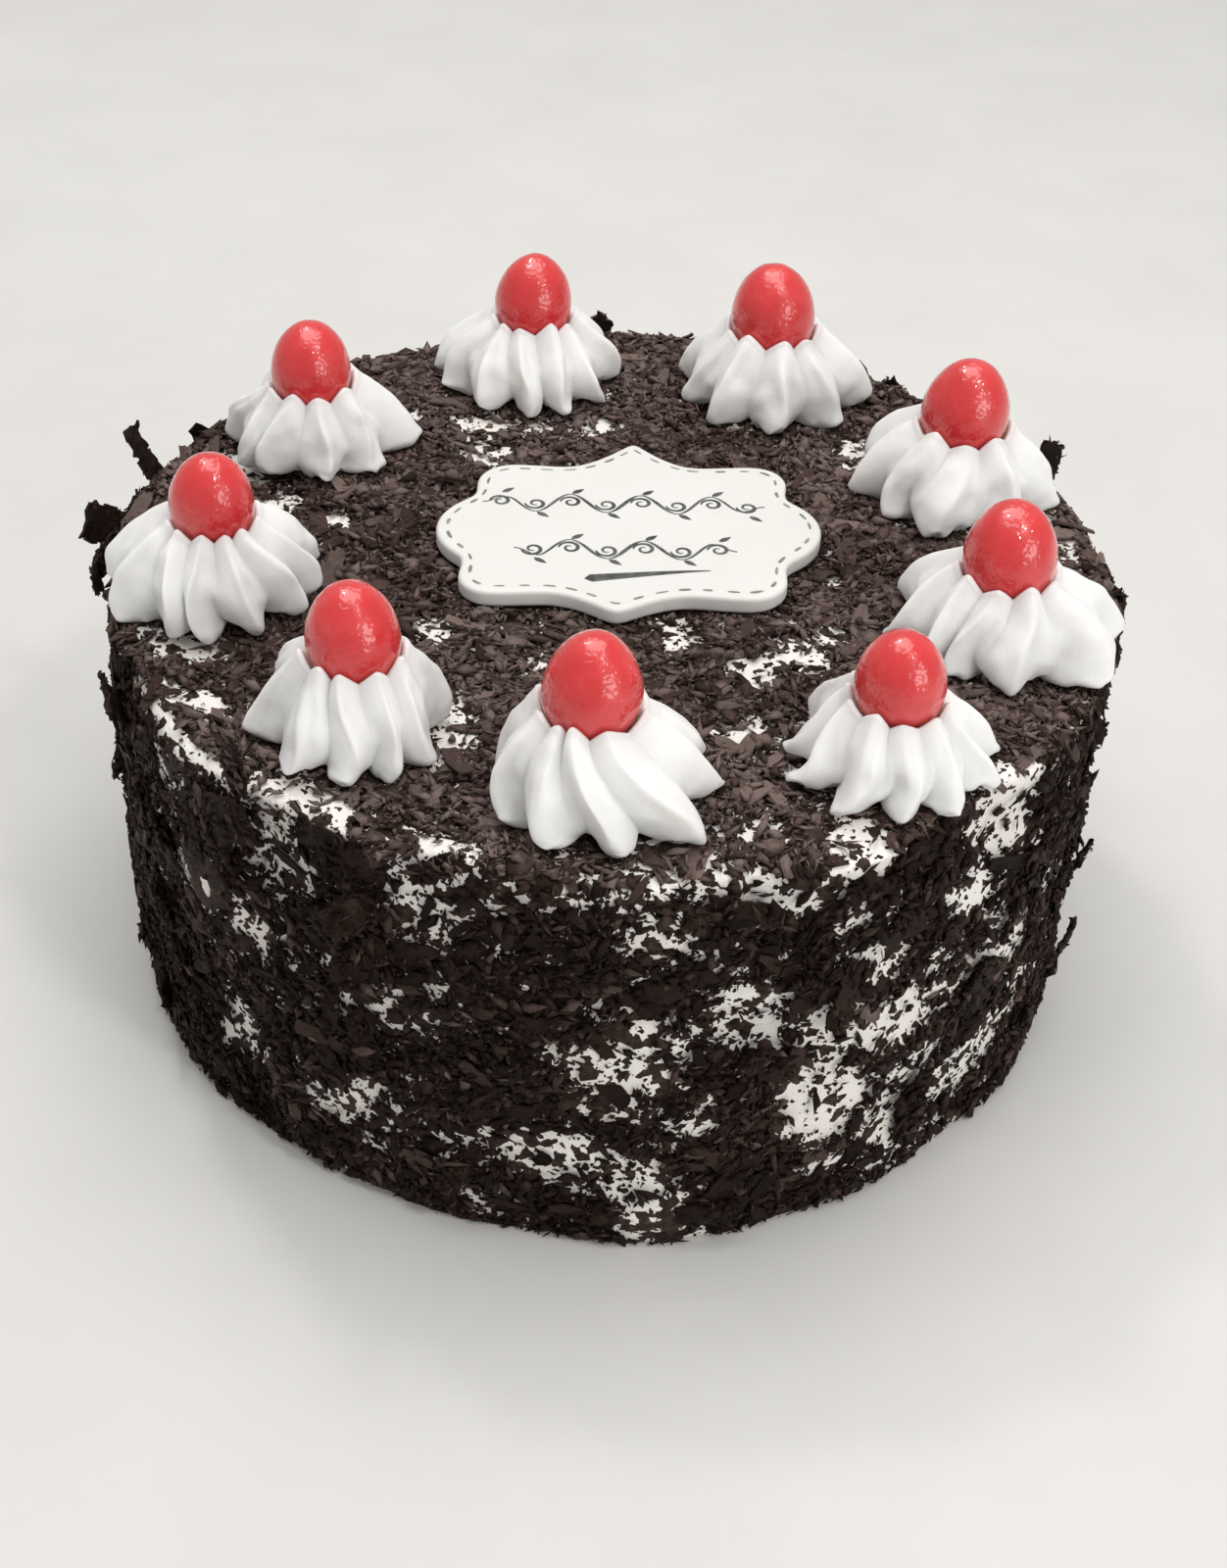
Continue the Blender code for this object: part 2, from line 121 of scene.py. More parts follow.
@dataclass
class Shell:
    """A surface ready to become a mesh: its points and faces, and what its finish reads at each point.

    Args:
        points: Places, one row each.
        quads: Four point numbers a row.
        triangles: Three point numbers a row.
        marks: A named number for each point.
        sheet: Each point's place on the piece's own flat map.
        crease: Edges bent by more than this angle stay sharp, or all of them at 0.
    """

    points: np.ndarray
    quads: np.ndarray
    triangles: np.ndarray = field(default_factory=lambda: np.empty((0, 3), int))
    marks: dict[str, np.ndarray] = field(default_factory=dict)
    sheet: np.ndarray | None = None
    crease: float = math.pi

    def build(self, name: str) -> bpy.types.Object:
        """Puts the whole arrays into a smooth mesh and links its object.

        Args:
            name: The piece's name.

        Returns:
            The new object, at the origin.
        """
        mesh = bpy.data.meshes.new(name)
        mesh.vertices.add(len(self.points))
        mesh.vertices.foreach_set("co", self.points.astype(np.float32).ravel())
        corners = np.concatenate([self.quads.ravel(), self.triangles.ravel()]).astype(np.int32)
        mesh.loops.add(len(corners))
        mesh.loops.foreach_set("vertex_index", corners)
        starts = np.arange(len(self.quads)) * 4
        late = 4 * len(self.quads) + np.arange(len(self.triangles)) * 3
        mesh.polygons.add(len(starts) + len(late))
        mesh.polygons.foreach_set("loop_start", np.concatenate([starts, late]).astype(np.int32))
        mesh.update(calc_edges=True)
        for mark, values in self.marks.items():
            layer = mesh.attributes.new(mark, "FLOAT", "POINT")
            layer.data.foreach_set("value", values.astype(np.float32))
        if self.sheet is not None:
            layer = mesh.uv_layers.new(name="sheet")
            layer.data.foreach_set("uv", self.sheet[corners].astype(np.float32).ravel())
        if self.crease > 0:
            mesh.shade_smooth()
        if 0 < self.crease < math.pi:
            mesh.set_sharp_from_angle(angle=self.crease)
        obj = bpy.data.objects.new(name, mesh)
        bpy.context.scene.collection.objects.link(obj)
        return obj


def unit(ways: np.ndarray) -> np.ndarray:
    """Directions at length one."""
    return ways / np.linalg.norm(ways, axis=1, keepdims=True)


def ring_quads(rows: int, columns: int) -> np.ndarray:
    """Quads of a grid that closes round its columns, rows going up and columns anticlockwise."""
    row, column = np.meshgrid(np.arange(rows - 1), np.arange(columns), indexing="ij")
    after = (column + 1) % columns
    corners = [row * columns + column, row * columns + after]
    corners += [(row + 1) * columns + after, (row + 1) * columns + column]
    return np.stack(corners, axis=-1).reshape(-1, 4)


def pole_triangles(pole: int, first: int, columns: int, upper: bool) -> np.ndarray:
    """Closes a ring of points with a fan.

    Args:
        pole: The fan's middle point.
        first: The ring's first point.
        columns: How many points the ring has.
        upper: Whether the fan faces up the rows.

    Returns:
        Three point numbers for each triangle.
    """
    here = first + np.arange(columns)
    after = first + (np.arange(columns) + 1) % columns
    sides = (here, after) if upper else (after, here)
    return np.stack([np.full(columns, pole), *sides], axis=-1)


def closed_ring_shell(rows: np.ndarray, low_pole: np.ndarray, high_pole: np.ndarray) -> Shell:
    """A grid of rings, each point a function of its row and turn, closed by a fan at either end.

    Args:
        rows: Places by row, column and axis.
        low_pole: The point that closes the first row.
        high_pole: The point that closes the last row.

    Returns:
        The closed shell.
    """
    count, columns, _ = rows.shape
    points = np.concatenate([rows.reshape(-1, 3), low_pole[None], high_pole[None]])
    low, high = count * columns, count * columns + 1
    below = pole_triangles(low, 0, columns, False)
    above = pole_triangles(high, (count - 1) * columns, columns, True)
    return Shell(points, ring_quads(count, columns), np.concatenate([below, above]))


def plate_quads(along: int, across: int) -> np.ndarray:
    """Quads of a thin plate: an upper grid of points, a lower one after it, and the wall round both."""
    upper = np.arange(along * across).reshape(along, across)
    lower = upper + along * across
    face = [upper[:-1, :-1], upper[1:, :-1], upper[1:, 1:], upper[:-1, 1:]]
    back = [lower[:-1, :-1], lower[:-1, 1:], lower[1:, 1:], lower[1:, :-1]]
    edge = np.concatenate([upper[:-1, 0], upper[-1, :-1], upper[:0:-1, -1], upper[0, :0:-1]])
    after = np.roll(edge, -1)
    depth = along * across
    wall = np.stack([edge, edge + depth, after + depth, after], axis=-1)
    grids = [np.stack(grid, axis=-1).reshape(-1, 4) for grid in (face, back)]
    return np.concatenate([*grids, wall])


def repeated(faces: np.ndarray, points_each: int, count: int) -> np.ndarray:
    """The same faces once for each of many equal pieces joined in one mesh."""
    steps = np.arange(count)[:, None, None] * points_each
    return (faces[None] + steps).reshape(-1, faces.shape[1])


class NodeBoard:
    """Lays nodes in one new material and joins them to its shader."""

    def __init__(self, name: str) -> None:
        """Makes the material, with its shader at hand."""
        self.material = bpy.data.materials.new(name)
        self.material.use_nodes = True
        self.tree = self.material.node_tree
        self.shader = self.tree.nodes["Principled BSDF"]

    def fill(self, node: bpy.types.Node, values: dict[str | int, object]) -> None:
        """Sets a node's sockets, or joins them where the value is another node's socket.

        Args:
            node: The node.
            values: What each socket gets, by its name or number.
        """
        for key, value in values.items():
            if isinstance(value, bpy.types.NodeSocket):
                self.tree.links.new(value, node.inputs[key])
            else:
                node.inputs[key].default_value = value

    def node(self, kind: str, values: dict[str | int, object], **settings: object) -> bpy.types.Node:
        """Adds a node.

        Args:
            kind: The node's type.
            values: What its sockets get.
            settings: What its own options get.

        Returns:
            The new node.
        """
        made = self.tree.nodes.new(kind)
        for option, choice in settings.items():
            setattr(made, option, choice)
        self.fill(made, values)
        return made

    def place(self) -> bpy.types.NodeSocket:
        """The point's place on its object."""
        return self.node("ShaderNodeTexCoord", {}).outputs["Object"]

    def mark(self, name: str) -> bpy.types.NodeSocket:
        """A named number that the mesh carries."""
        return self.node("ShaderNodeAttribute", {}, attribute_name=name).outputs["Fac"]

    def noise(self, where: bpy.types.NodeSocket, grain: float, detail: float = 3.0) -> bpy.types.NodeSocket:
        """Noise from 0 to 1 with features of about the given grain in metres."""
        values = {"Vector": where, "Scale": 1 / grain, "Detail": detail, "Roughness": 0.6}
        return self.node("ShaderNodeTexNoise", values).outputs["Fac"]

    def cells(self, where: bpy.types.NodeSocket, grain: float) -> bpy.types.NodeSocket:
        """A random number from 0 to 1 for each angular cell of about the given size in metres."""
        made = self.node("ShaderNodeTexVoronoi", {"Vector": where, "Scale": 1 / grain})
        return self.node("ShaderNodeSeparateColor", {0: made.outputs["Color"]}).outputs[0]

    def warped(self, where: bpy.types.NodeSocket, grain: float, reach: float) -> bpy.types.NodeSocket:
        """Places moved about by up to the given reach, so that cells and spots get ragged edges."""
        made = self.node("ShaderNodeTexNoise", {"Vector": where, "Scale": 1 / grain, "Detail": 3.0})
        shift = self.node("ShaderNodeVectorMath", {0: made.outputs["Color"], 1: (0.5, 0.5, 0.5)},
                          operation="SUBTRACT").outputs[0]
        values = {0: shift, 1: (2 * reach,) * 3, 2: where}
        return self.node("ShaderNodeVectorMath", values, operation="MULTIPLY_ADD").outputs[0]

    def above(self, first: bpy.types.NodeSocket, second: bpy.types.NodeSocket) -> bpy.types.NodeSocket:
        """1 where the first number is the larger, 0 elsewhere."""
        return self.node("ShaderNodeMath", {0: first, 1: second}, operation="GREATER_THAN").outputs[0]

    def scaled(self, first: bpy.types.NodeSocket,
               second: bpy.types.NodeSocket | float) -> bpy.types.NodeSocket:
        """Multiplies a number by another."""
        return self.node("ShaderNodeMath", {0: first, 1: second}, operation="MULTIPLY").outputs[0]

    def sum(self, *terms: bpy.types.NodeSocket | float) -> bpy.types.NodeSocket:
        """Adds up numbers."""
        total = terms[0]
        for term in terms[1:]:
            total = self.node("ShaderNodeMath", {0: total, 1: term}).outputs[0]
        return total

    def span(self, value: bpy.types.NodeSocket, source: tuple[float, float],
             target: tuple[float, float]) -> bpy.types.NodeSocket:
        """Carries a number from one span to another and holds it inside.

        Args:
            value: The number.
            source: The span that it comes from.
            target: The span that it goes to.

        Returns:
            The number in its new span.
        """
        values = {"Value": value, "From Min": source[0], "From Max": source[1]}
        values |= {"To Min": target[0], "To Max": target[1]}
        return self.node("ShaderNodeMapRange", values).outputs["Result"]

    def ramp(self, value: bpy.types.NodeSocket, stops: list[tuple[float, tuple]]) -> bpy.types.NodeSocket:
        """Turns a number into a colour.

        Args:
            value: The number.
            stops: Each stop's place and colour.

        Returns:
            The colour.
        """
        made = self.node("ShaderNodeValToRGB", {"Fac": value})
        elements = made.color_ramp.elements
        while len(elements) < len(stops):
            elements.new(1.0)
        for element, (place, colour) in zip(elements, stops):
            element.position = place
            element.color = (*colour, 1.0)
        return made.outputs["Color"]

    def mixed(self, share: bpy.types.NodeSocket, first: bpy.types.NodeSocket,
              second: bpy.types.NodeSocket) -> bpy.types.NodeSocket:
        """Blends two colours."""
        return self.node("ShaderNodeMix", {0: share, 6: first, 7: second}, data_type="RGBA").outputs[2]

    def bump(self, height: bpy.types.NodeSocket, distance: float,
             strength: float = 1.0) -> bpy.types.NodeSocket:
        """Tilts the surface's normal by a height from 0 to 1 over the given distance."""
        values = {"Height": height, "Distance": distance, "Strength": strength}
        return self.node("ShaderNodeBump", values).outputs["Normal"]


@dataclass(frozen=True)
class ShavedChocolate:
    """Dark chocolate as a blade leaves it: each shaving has its own tone, raised on the top as painted light
    and lowered on the side as painted shade, and scrape lines along it.

    Args:
        name: The material's name.
        gloss: The roughness of the smoothest shaving.
        scrape: How deep the scrape lines are.
    """

    name: str
    gloss: float = 0.52
    scrape: float = 0.24 * MM

    def material(self) -> bpy.types.Material:
        """Tone to colour by a ramp from near black over brown to a dusty bloom; the tone carries painted
        light, so pieces on the top come out lighter and those on the side darker.
        """
        board = NodeBoard(self.name)
        place = board.place()
        mottle = board.noise(place, 1.3 * MM, 5.0)
        tone = board.sum(board.mark("tone"), board.scaled(mottle, 0.5), -0.25)
        stops = [(0.0, (0.0058, 0.0032, 0.0025)), (0.30, (0.0184, 0.0103, 0.0081)),
                 (0.60, (0.060, 0.0385, 0.0338)), (1.0, (0.172, 0.1270, 0.1150))]
        sheet = board.node("ShaderNodeTexCoord", {}).outputs["UV"]
        drawn = board.node("ShaderNodeMapping", {"Vector": sheet, "Scale": (0.16, 1.3, 1.0)}).outputs[0]
        lines = board.noise(drawn, 1.0, 4.0)
        values = {
            "Base Color": board.ramp(tone, stops),
            "Roughness": board.span(mottle, (0.3, 0.7), (self.gloss, self.gloss + 0.25)),
            "Specular IOR Level": 0.16,
            "Specular Tint": (1.0, 0.80, 0.70, 1.0),
            "Normal": board.bump(board.sum(lines, board.scaled(mottle, 1.4)), self.scrape),
        }
        board.fill(board.shader, values)
        return board.material


@dataclass(frozen=True)
class BedFinish:
    """The coat below the shavings: packed crumb over cream, thinning out in flecks where it is bare.

    Args:
        coarse: The size of the larger flecks.
        fine: The size of the smaller ones.
        ragged: How far a fleck's edge strays.
        reach: How far inside and outside a bare spot's edge the flecks thin out, in mm.
    """

    coarse: float = 2.1 * MM
    fine: float = 0.85 * MM
    ragged: float = 0.55 * MM
    reach: tuple[float, float] = (-5.4, 2.2)

    def material(self) -> bpy.types.Material:
        """Cream shows where two random cell fields are both above the crumb's cover, set by the bare mark."""
        board = NodeBoard("cream_and_crumb")
        place = board.place()
        strayed = board.warped(place, 1.2 * MM, self.ragged)
        mark = board.mark("bare")
        thick = board.span(mark, self.reach, (1.0, 0.07))
        thin = board.span(mark, self.reach, (0.64, 0.05))
        bare = board.scaled(board.above(board.cells(strayed, self.coarse), thick),
                            board.above(board.cells(strayed, self.fine), thin))
        crumb = board.noise(place, 1.3 * MM, 5.0)
        crumb_stops = [(0.30, (0.0075, 0.0040, 0.0030)), (0.50, (0.0260, 0.0142, 0.0106)),
                       (0.64, (0.060, 0.0345, 0.0260)), (0.80, (0.120, 0.0760, 0.0600))]
        soft = board.noise(place, 14 * MM, 3.0)
        cream_stops = [(0.25, (0.84, 0.79, 0.745)), (0.60, (0.88, 0.85, 0.815)), (0.85, (0.90, 0.88, 0.85))]
        colour = board.mixed(bare, board.ramp(crumb, crumb_stops), board.ramp(soft, cream_stops))
        rough = board.noise(place, 0.8 * MM, 5.0)
        height = board.sum(board.scaled(rough, 1.0), board.scaled(bare, -0.7))
        values = {
            "Base Color": colour,
            "Roughness": board.span(bare, (0.0, 1.0), (0.74, 0.50)),
            "Specular IOR Level": 0.28,
            "Normal": board.bump(height, 0.42 * MM, 0.8),
        }
        board.fill(board.shader, values)
        return board.material


@dataclass(frozen=True)
class WhippedCream:
    """Piped cream: soft, white and satin, with light carried a short way inside."""

    def material(self) -> bpy.types.Material:
        """Slow tint changes, fine pores in the bump, and a short scatter."""
        board = NodeBoard("whipped_cream")
        place = board.place()
        tint = board.ramp(board.noise(place, 16 * MM, 2.0),
                          [(0.3, (0.790, 0.792, 0.785)), (0.7, (0.815, 0.822, 0.820))])
        pores = board.noise(place, 0.8 * MM, 4.0)
        folds = board.noise(place, 3.6 * MM, 2.0)
        values = {
            "Base Color": tint,
            "Roughness": board.span(folds, (0.3, 0.7), (0.42, 0.58)),
            "Subsurface Weight": 0.85,
            "Subsurface Radius": (1.0, 0.92, 0.82),
            "Subsurface Scale": 3.4 * MM,
            "Normal": board.bump(board.sum(board.scaled(pores, 0.5), folds), 0.22 * MM, 0.7),
        }
        board.fill(board.shader, values)
        return board.material


@dataclass(frozen=True)
class GlaceCherry:
    """A cherry steeped in syrup: clear red flesh under a tight, finely bumped, glossy skin."""

    def material(self) -> bpy.types.Material:
        """Red mottled towards pink, a deep scatter, a wet coat and a fine bump that breaks highlights."""
        board = NodeBoard("glace_cherry")
        place = board.place()
        flesh = board.noise(place, 5 * MM, 4.0)
        tint = board.ramp(flesh, [(0.25, (0.61, 0.016, 0.020)), (0.55, (0.68, 0.027, 0.030)),
                                  (0.85, (0.74, 0.074, 0.074))])
        skin = board.noise(place, 1.1 * MM, 2.0)
        dimples = board.noise(place, 0.8 * MM, 0.0)
        values = {
            "Base Color": tint,
            "Roughness": board.span(skin, (0.3, 0.7), (0.30, 0.42)),
            "Subsurface Weight": 0.45,
            "Subsurface Radius": (1.0, 0.18, 0.16),
            "Subsurface Scale": 2.4 * MM,
            "Coat Weight": 1.0,
            "Coat Roughness": 0.02,
            "Normal": board.bump(skin, 0.10 * MM, 0.7),
            "Coat Normal": board.bump(dimples, 0.17 * MM),
        }
        board.fill(board.shader, values)
        return board.material


@dataclass(frozen=True)
class SugarPaste:
    """Rolled sugar paste: ivory, close and matt, with a faint grain."""

    def material(self) -> bpy.types.Material:
        """Ivory with slow tint changes and a powder-fine bump."""
        board = NodeBoard("sugar_paste")
        place = board.place()
        tint = board.ramp(board.noise(place, 12 * MM, 3.0),
                          [(0.3, (0.705, 0.703, 0.682)), (0.7, (0.730, 0.730, 0.716))])
        grain = board.noise(place, 0.5 * MM, 4.0)
        values = {
            "Base Color": tint,
            "Roughness": board.span(grain, (0.3, 0.7), (0.44, 0.58)),
            "Subsurface Weight": 0.25,
            "Subsurface Radius": (1.0, 0.90, 0.70),
            "Subsurface Scale": 1.2 * MM,
            "Normal": board.bump(grain, 0.05 * MM, 0.6),
        }
        board.fill(board.shader, values)
        return board.material


@dataclass(frozen=True)
class PenInk:
    """Edible ink from a fine pen, thinner where the pen ran dry.

    Args:
        name: The material's name.
        full: The colour of a full line.
        dry: The colour of a dry line.
    """

    name: str
    full: tuple[float, float, float]
    dry: tuple[float, float, float]

    def material(self) -> bpy.types.Material:
        """Noise along the lines moves between the full and the dry colour."""
        board = NodeBoard(self.name)
        place = board.place()
        flow = board.noise(place, 2.5 * MM, 5.0)
        values = {
            "Base Color": board.ramp(flow, [(0.40, self.full), (0.68, self.dry)]),
            "Roughness": board.span(flow, (0.3, 0.7), (0.50, 0.66)),
            "Normal": board.bump(board.noise(place, 0.4 * MM, 2.0), 0.02 * MM),
        }
        board.fill(board.shader, values)
        return board.material


@dataclass(frozen=True)
class StudioFloor:
    """A plain pale surface to stand the cake on."""

    def material(self) -> bpy.types.Material:
        """Pale grey with a barely seen mottle."""
        board = NodeBoard("studio_floor")
        mottle = board.noise(board.place(), 60 * MM, 4.0)
        tint = board.ramp(mottle, [(0.3, (0.66, 0.655, 0.64)), (0.7, (0.70, 0.695, 0.68))])
        board.fill(board.shader, {"Base Color": tint, "Roughness": 0.7})
        return board.material


def dress(obj: bpy.types.Object, finish: bpy.types.Material, slot: Slot, *nodes: str) -> bpy.types.Object:
    """Gives a piece its finish and ties it to the frame.

    Args:
        obj: The piece.
        finish: Its material.
        slot: The record's slot that it belongs to; not used.
        nodes: The solids that it stands for.

    Returns:
        The same piece.
    """
    obj.data.materials.append(finish)
    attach(obj, "root")
    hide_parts(*nodes)
    LOG.info("%s: %d faces", obj.name, len(obj.data.polygons))
    return obj


@dataclass(frozen=True)
class Rosette:
    """A piped rosette's place on the ring and its petals.

    Args:
        angle: Its direction from the cake's middle, in degrees.
        ring: Its distance from the middle, in mm.
        twist: How far its petals turn from foot to tip, in degrees.
        lift: How far its cherry is raised, in mm.
        cherry_share: Its cherry's share of the usual size.
        fullness: How far its petals bulge: 1 falls straight from tip to foot, more is fuller.
        lobes: Each petal's direction in degrees and reach in mm.
    """

    angle: float
    ring: float
    twist: float
    lift: float
    cherry_share: float
    fullness: float
    lobes: tuple[tuple[float, float], ...]

    @property
    def place(self) -> np.ndarray:
        """The middle of its foot, across and away."""
        turn = math.radians(self.angle)
        return np.array([math.cos(turn), math.sin(turn)]) * self.ring * MM

    @property
    def reach(self) -> float:
        """Its longest petal's reach."""
        return max(reach for _, reach in self.lobes) * MM


ROSETTES = (
    Rosette(105.4, 73.5, -10, 0.0, 0.98, 1.9, ((4, 19), (42, 20), (82, 20), (124, 21), (166, 23), (206, 21),
                                          (237, 20), (267, 20), (299, 20), (333, 20))),
    Rosette(64.8, 75.5, 8, 0.3, 1.07, 1.8, ((30, 22), (72, 20), (113, 20), (154, 21), (194, 20), (230, 21),
                                       (272, 20), (312, 22), (356, 24))),
    Rosette(22.1, 74.5, 4, 0.3, 1.04, 1.7, ((38, 24), (75, 20), (105, 20), (134, 23), (180, 22), (220, 20),
                                       (253, 21), (300, 20), (348, 22))),
    Rosette(-19.6, 75.5, 6, 0.0, 1.00, 1.7, ((5, 25), (47, 22), (90, 20), (135, 22), (176, 21), (208, 19),
                                        (238, 18), (275, 19), (318, 24))),
    Rosette(-53.0, 80.0, 6, -1.8, 0.92, 1.3, ((13, 21), (55, 20), (95, 19), (131, 21), (166, 19), (196, 21),
                                         (235, 19), (267, 17), (303, 19), (340, 20))),
    Rosette(-92.2, 74.0, -24, 1.4, 0.98, 2.0, ((8, 22), (36, 22), (75, 19), (108, 19), (139, 18), (180, 16),
                                          (226, 18), (254, 20), (284, 21), (321, 24))),
    Rosette(-126.0, 73.5, 8, 0.0, 0.96, 1.45, ((12, 17), (55, 19), (100, 19), (148, 20), (192, 20), (234, 19),
                                         (264, 19), (295, 19), (324, 19))),
    Rosette(-165.5, 76.0, -12, 0.5, 0.92, 1.9, ((2, 19), (40, 21), (80, 20), (125, 20), (169, 22), (215, 21),
                                           (248, 19), (275, 19), (304, 19), (334, 19))),
    Rosette(149.8, 73.0, 6, -0.8, 0.96, 1.6, ((12, 23), (52, 21), (95, 20), (137, 20), (177, 20), (208, 18),
                                         (238, 17), (281, 16), (322, 18))),
)


@dataclass(frozen=True)
class CherryShape:
    """The cherries' egg: half sizes, how much the top is narrower, and how far each one leans."""

    radius: float = 8.5 * MM
    half_height: float = 10.2 * MM
    centre: float = 19.0 * MM
    narrowing: float = 0.10
    lean: float = 4.0
    cup_gap: float = 0.35 * MM

    def girth(self, rise: np.ndarray) -> np.ndarray:
        """The egg's radius at a height, both as shares: a circle's, narrowed in proportion to height."""
        return np.sqrt(1 - rise * rise) * (1 - self.narrowing * rise)

    def cup_point(self, rosette: Rosette, lip: np.ndarray, share: float) -> tuple[np.ndarray, np.ndarray]:
        """A cup that follows the egg at a gap: a share of the angle from its bottom to its lip.

        Args:
            rosette: The rosette that holds the cherry.
            lip: The height of the cup's lip.
            share: How far up the cup the point is.

        Returns:
            The cup's radius and height there.
        """
        half = self.half_height * rosette.cherry_share
        centre = self.centre + rosette.lift * MM
        turn = share * np.arccos((centre - lip) / half)
        radius = self.radius * rosette.cherry_share * self.girth(-np.cos(turn))
        return radius + self.cup_gap * np.sin(turn), centre - (half + self.cup_gap) * np.cos(turn)


@dataclass(frozen=True)
class PetalShape:
    """How a rosette's petals rise from the foot to the cherry.

    Args:
        fullness: The least and most share of the rosette's fullness that a petal has.
        valley_foot: The valleys' share of the reach at the foot.
        valley_gain: How much of the reach they gain further up.
        edge: The sharpest and the softest ridge.
        blunt: How much softer than its ridge a petal's foot may be.
        skew: How far a valley may lie to one side of the middle between two ridges.
        sway: How far a ridge may swing on its way up, in degrees.
        crease: How far the small folds stand out.
        streak: How far the fine streaks along the petals stand out.
    """

    tip_height: float = 16.2 * MM
    valley_height: float = 14.0 * MM
    tip_spread: float = 0.9 * MM
    wall: float = 1.2 * MM
    fullness: tuple[float, float] = (0.75, 1.30)
    valley_foot: float = 0.62
    valley_gain: float = 0.28
    foot_round: float = 0.13
    foot_tuck: float = 0.13
    sunk: float = 0.7 * MM
    edge: tuple[float, float] = (0.03, 0.16)
    blunt: float = 3.0
    skew: float = 0.22
    sway: float = 9.0
    crease: float = 0.9 * MM
    streak: float = 0.46 * MM
    steps_per_lobe: int = 26
    outer_rows: int = 36
    cup_rows: int = 6


class CherryRosettes:
    """The ring of rosettes and the cherries in them."""

    def __init__(self, seat_height: float, cherry: CherryShape, petal: PetalShape) -> None:
        """Keeps the shapes and makes the two finishes."""
        self.seat_height = seat_height
        self.cherry = cherry
        self.petal = petal
        self.cream = WhippedCream().material()
        self.red = GlaceCherry().material()

    def lip_line(self, rosette: Rosette, index: int, phase: np.ndarray, lobe: np.ndarray) -> np.ndarray:
        """The lip's height by column: blunt tips of uneven height at the ridges, and dips between them."""
        shape = self.petal
        rng = random.Random(f"rosette_{index}")
        tips = np.array([rng.uniform(-1, 1) * shape.tip_spread for _ in rosette.lobes])
        nearest = np.where(phase <= 0.5, lobe, (lobe + 1) % len(tips))
        apex = 2 * np.minimum(phase, 1 - phase)
        rise = shape.tip_height + tips[nearest] - shape.valley_height
        return shape.valley_height + rise * (1 - apex**1.5) + rosette.lift * MM

    def petal_rows(self, rosette: Rosette, index: int) -> np.ndarray:
        """The rosette's rings of points, from its foot over the lip and down into its cup.

        A petal's ridge and the valley beside it each shrink from their reach to the lip as one less a power
        of the height. Between them either flank is a blend of a round fall, one less a power of the way to
        the valley, and a hollow one, a power of what is left of it. The valleys are deep at the foot and
        shallower above it, lie to one side at mid height, and ridges and valleys swing as they rise.

        Args:
            rosette: The rosette.
            index: Its number in the ring.

        Returns:
            Places by row, column and axis, around the middle of its foot.
        """
        shape, lobes = self.petal, np.array(rosette.lobes)
        draws = np.random.default_rng(70 + index)
        skews, sways, creases, swirls = draws.uniform(-1, 1, (4, len(lobes)))
        powers = rosette.fullness * draws.uniform(*shape.fullness, len(lobes))
        edges = draws.uniform(*shape.edge, len(lobes))
        blunts = draws.uniform(0, shape.blunt, len(lobes))
        hollows = draws.uniform(0, 1, (2, len(lobes)))
        column = np.arange(len(lobes) * shape.steps_per_lobe) / shape.steps_per_lobe
        lobe = column.astype(int)
        phase = column - lobe
        after = (lobe + 1) % len(lobes)
        ease = 0.5 - 0.5 * np.cos(math.pi * phase)
        share = (np.linspace(0, 1, shape.outer_rows) ** 1.2)[:, None]
        lip = self.lip_line(rosette, index, phase, lobe)
        lip_radius, lip_top = self.cherry.cup_point(rosette, lip, 1.0)
        outer = lip_radius + shape.wall

        middle = 0.5 + shape.skew * skews[lobe] * np.sin(math.pi * share)
        left = phase <= middle
        nearest = np.where(left, lobe, after)
        away = np.where(left, phase / middle, (1 - phase) / (1 - middle))
        edge = edges[nearest] * (1 + blunts[nearest] * (1 - share) ** 4)
        off_ridge = (np.sqrt(away**2 + edge**2) - edge) / (np.sqrt(1 + edge**2) - edge)
        hollow = np.where(left, hollows[0, nearest], hollows[1, nearest])
        flank = (1 - hollow) * (1 - off_ridge**1.22) + hollow * (1 - off_ridge) ** 1.5

        power = powers[lobe] + (powers[after] - powers[lobe]) * ease
        fall = 1 - share**power
        mean_reach = lobes[lobe, 1] + (lobes[after, 1] - lobes[lobe, 1]) * phase
        valley_share = shape.valley_foot + shape.valley_gain * (1 - (1 - share) ** 2)
        high = outer + (MM * lobes[nearest, 1] - outer) * fall
        low = outer + np.clip(MM * valley_share * mean_reach - outer, 0, None) * fall
        radius = low + (high - low) * flank
        side = np.where(left, away, -away)
        drift = side - 0.9 * creases[nearest] * (share - 0.45) - 0.3 * skews[nearest]
        fold = np.exp(-((drift / 0.16) ** 2)) - 0.6 * np.exp(-(((drift - 0.36) / 0.22) ** 2))
        radius = radius + shape.crease * fold * np.sin(math.pi * share) ** 1.2 * (1 - away**2)
        about = math.tau * column / len(lobes)
        ring = np.stack([np.cos(about), np.sin(about)], axis=-1) * len(lobes) / math.tau
        rings = np.broadcast_to(ring, (len(share), *ring.shape))
        rises = np.broadcast_to(1.1 * share[..., None] + index, (len(share), len(ring), 1))
        drawn = np.concatenate([rings, rises], axis=-1)
        radius = radius + shape.streak * soft_noise(drawn, 0.21, 12) * np.sin(math.pi * share) ** 0.7
        radius = radius * (1 - shape.foot_tuck * np.clip(1 - share / shape.foot_round, 0, 1) ** 2)
        height = share * (lip_top + shape.sunk) - shape.sunk

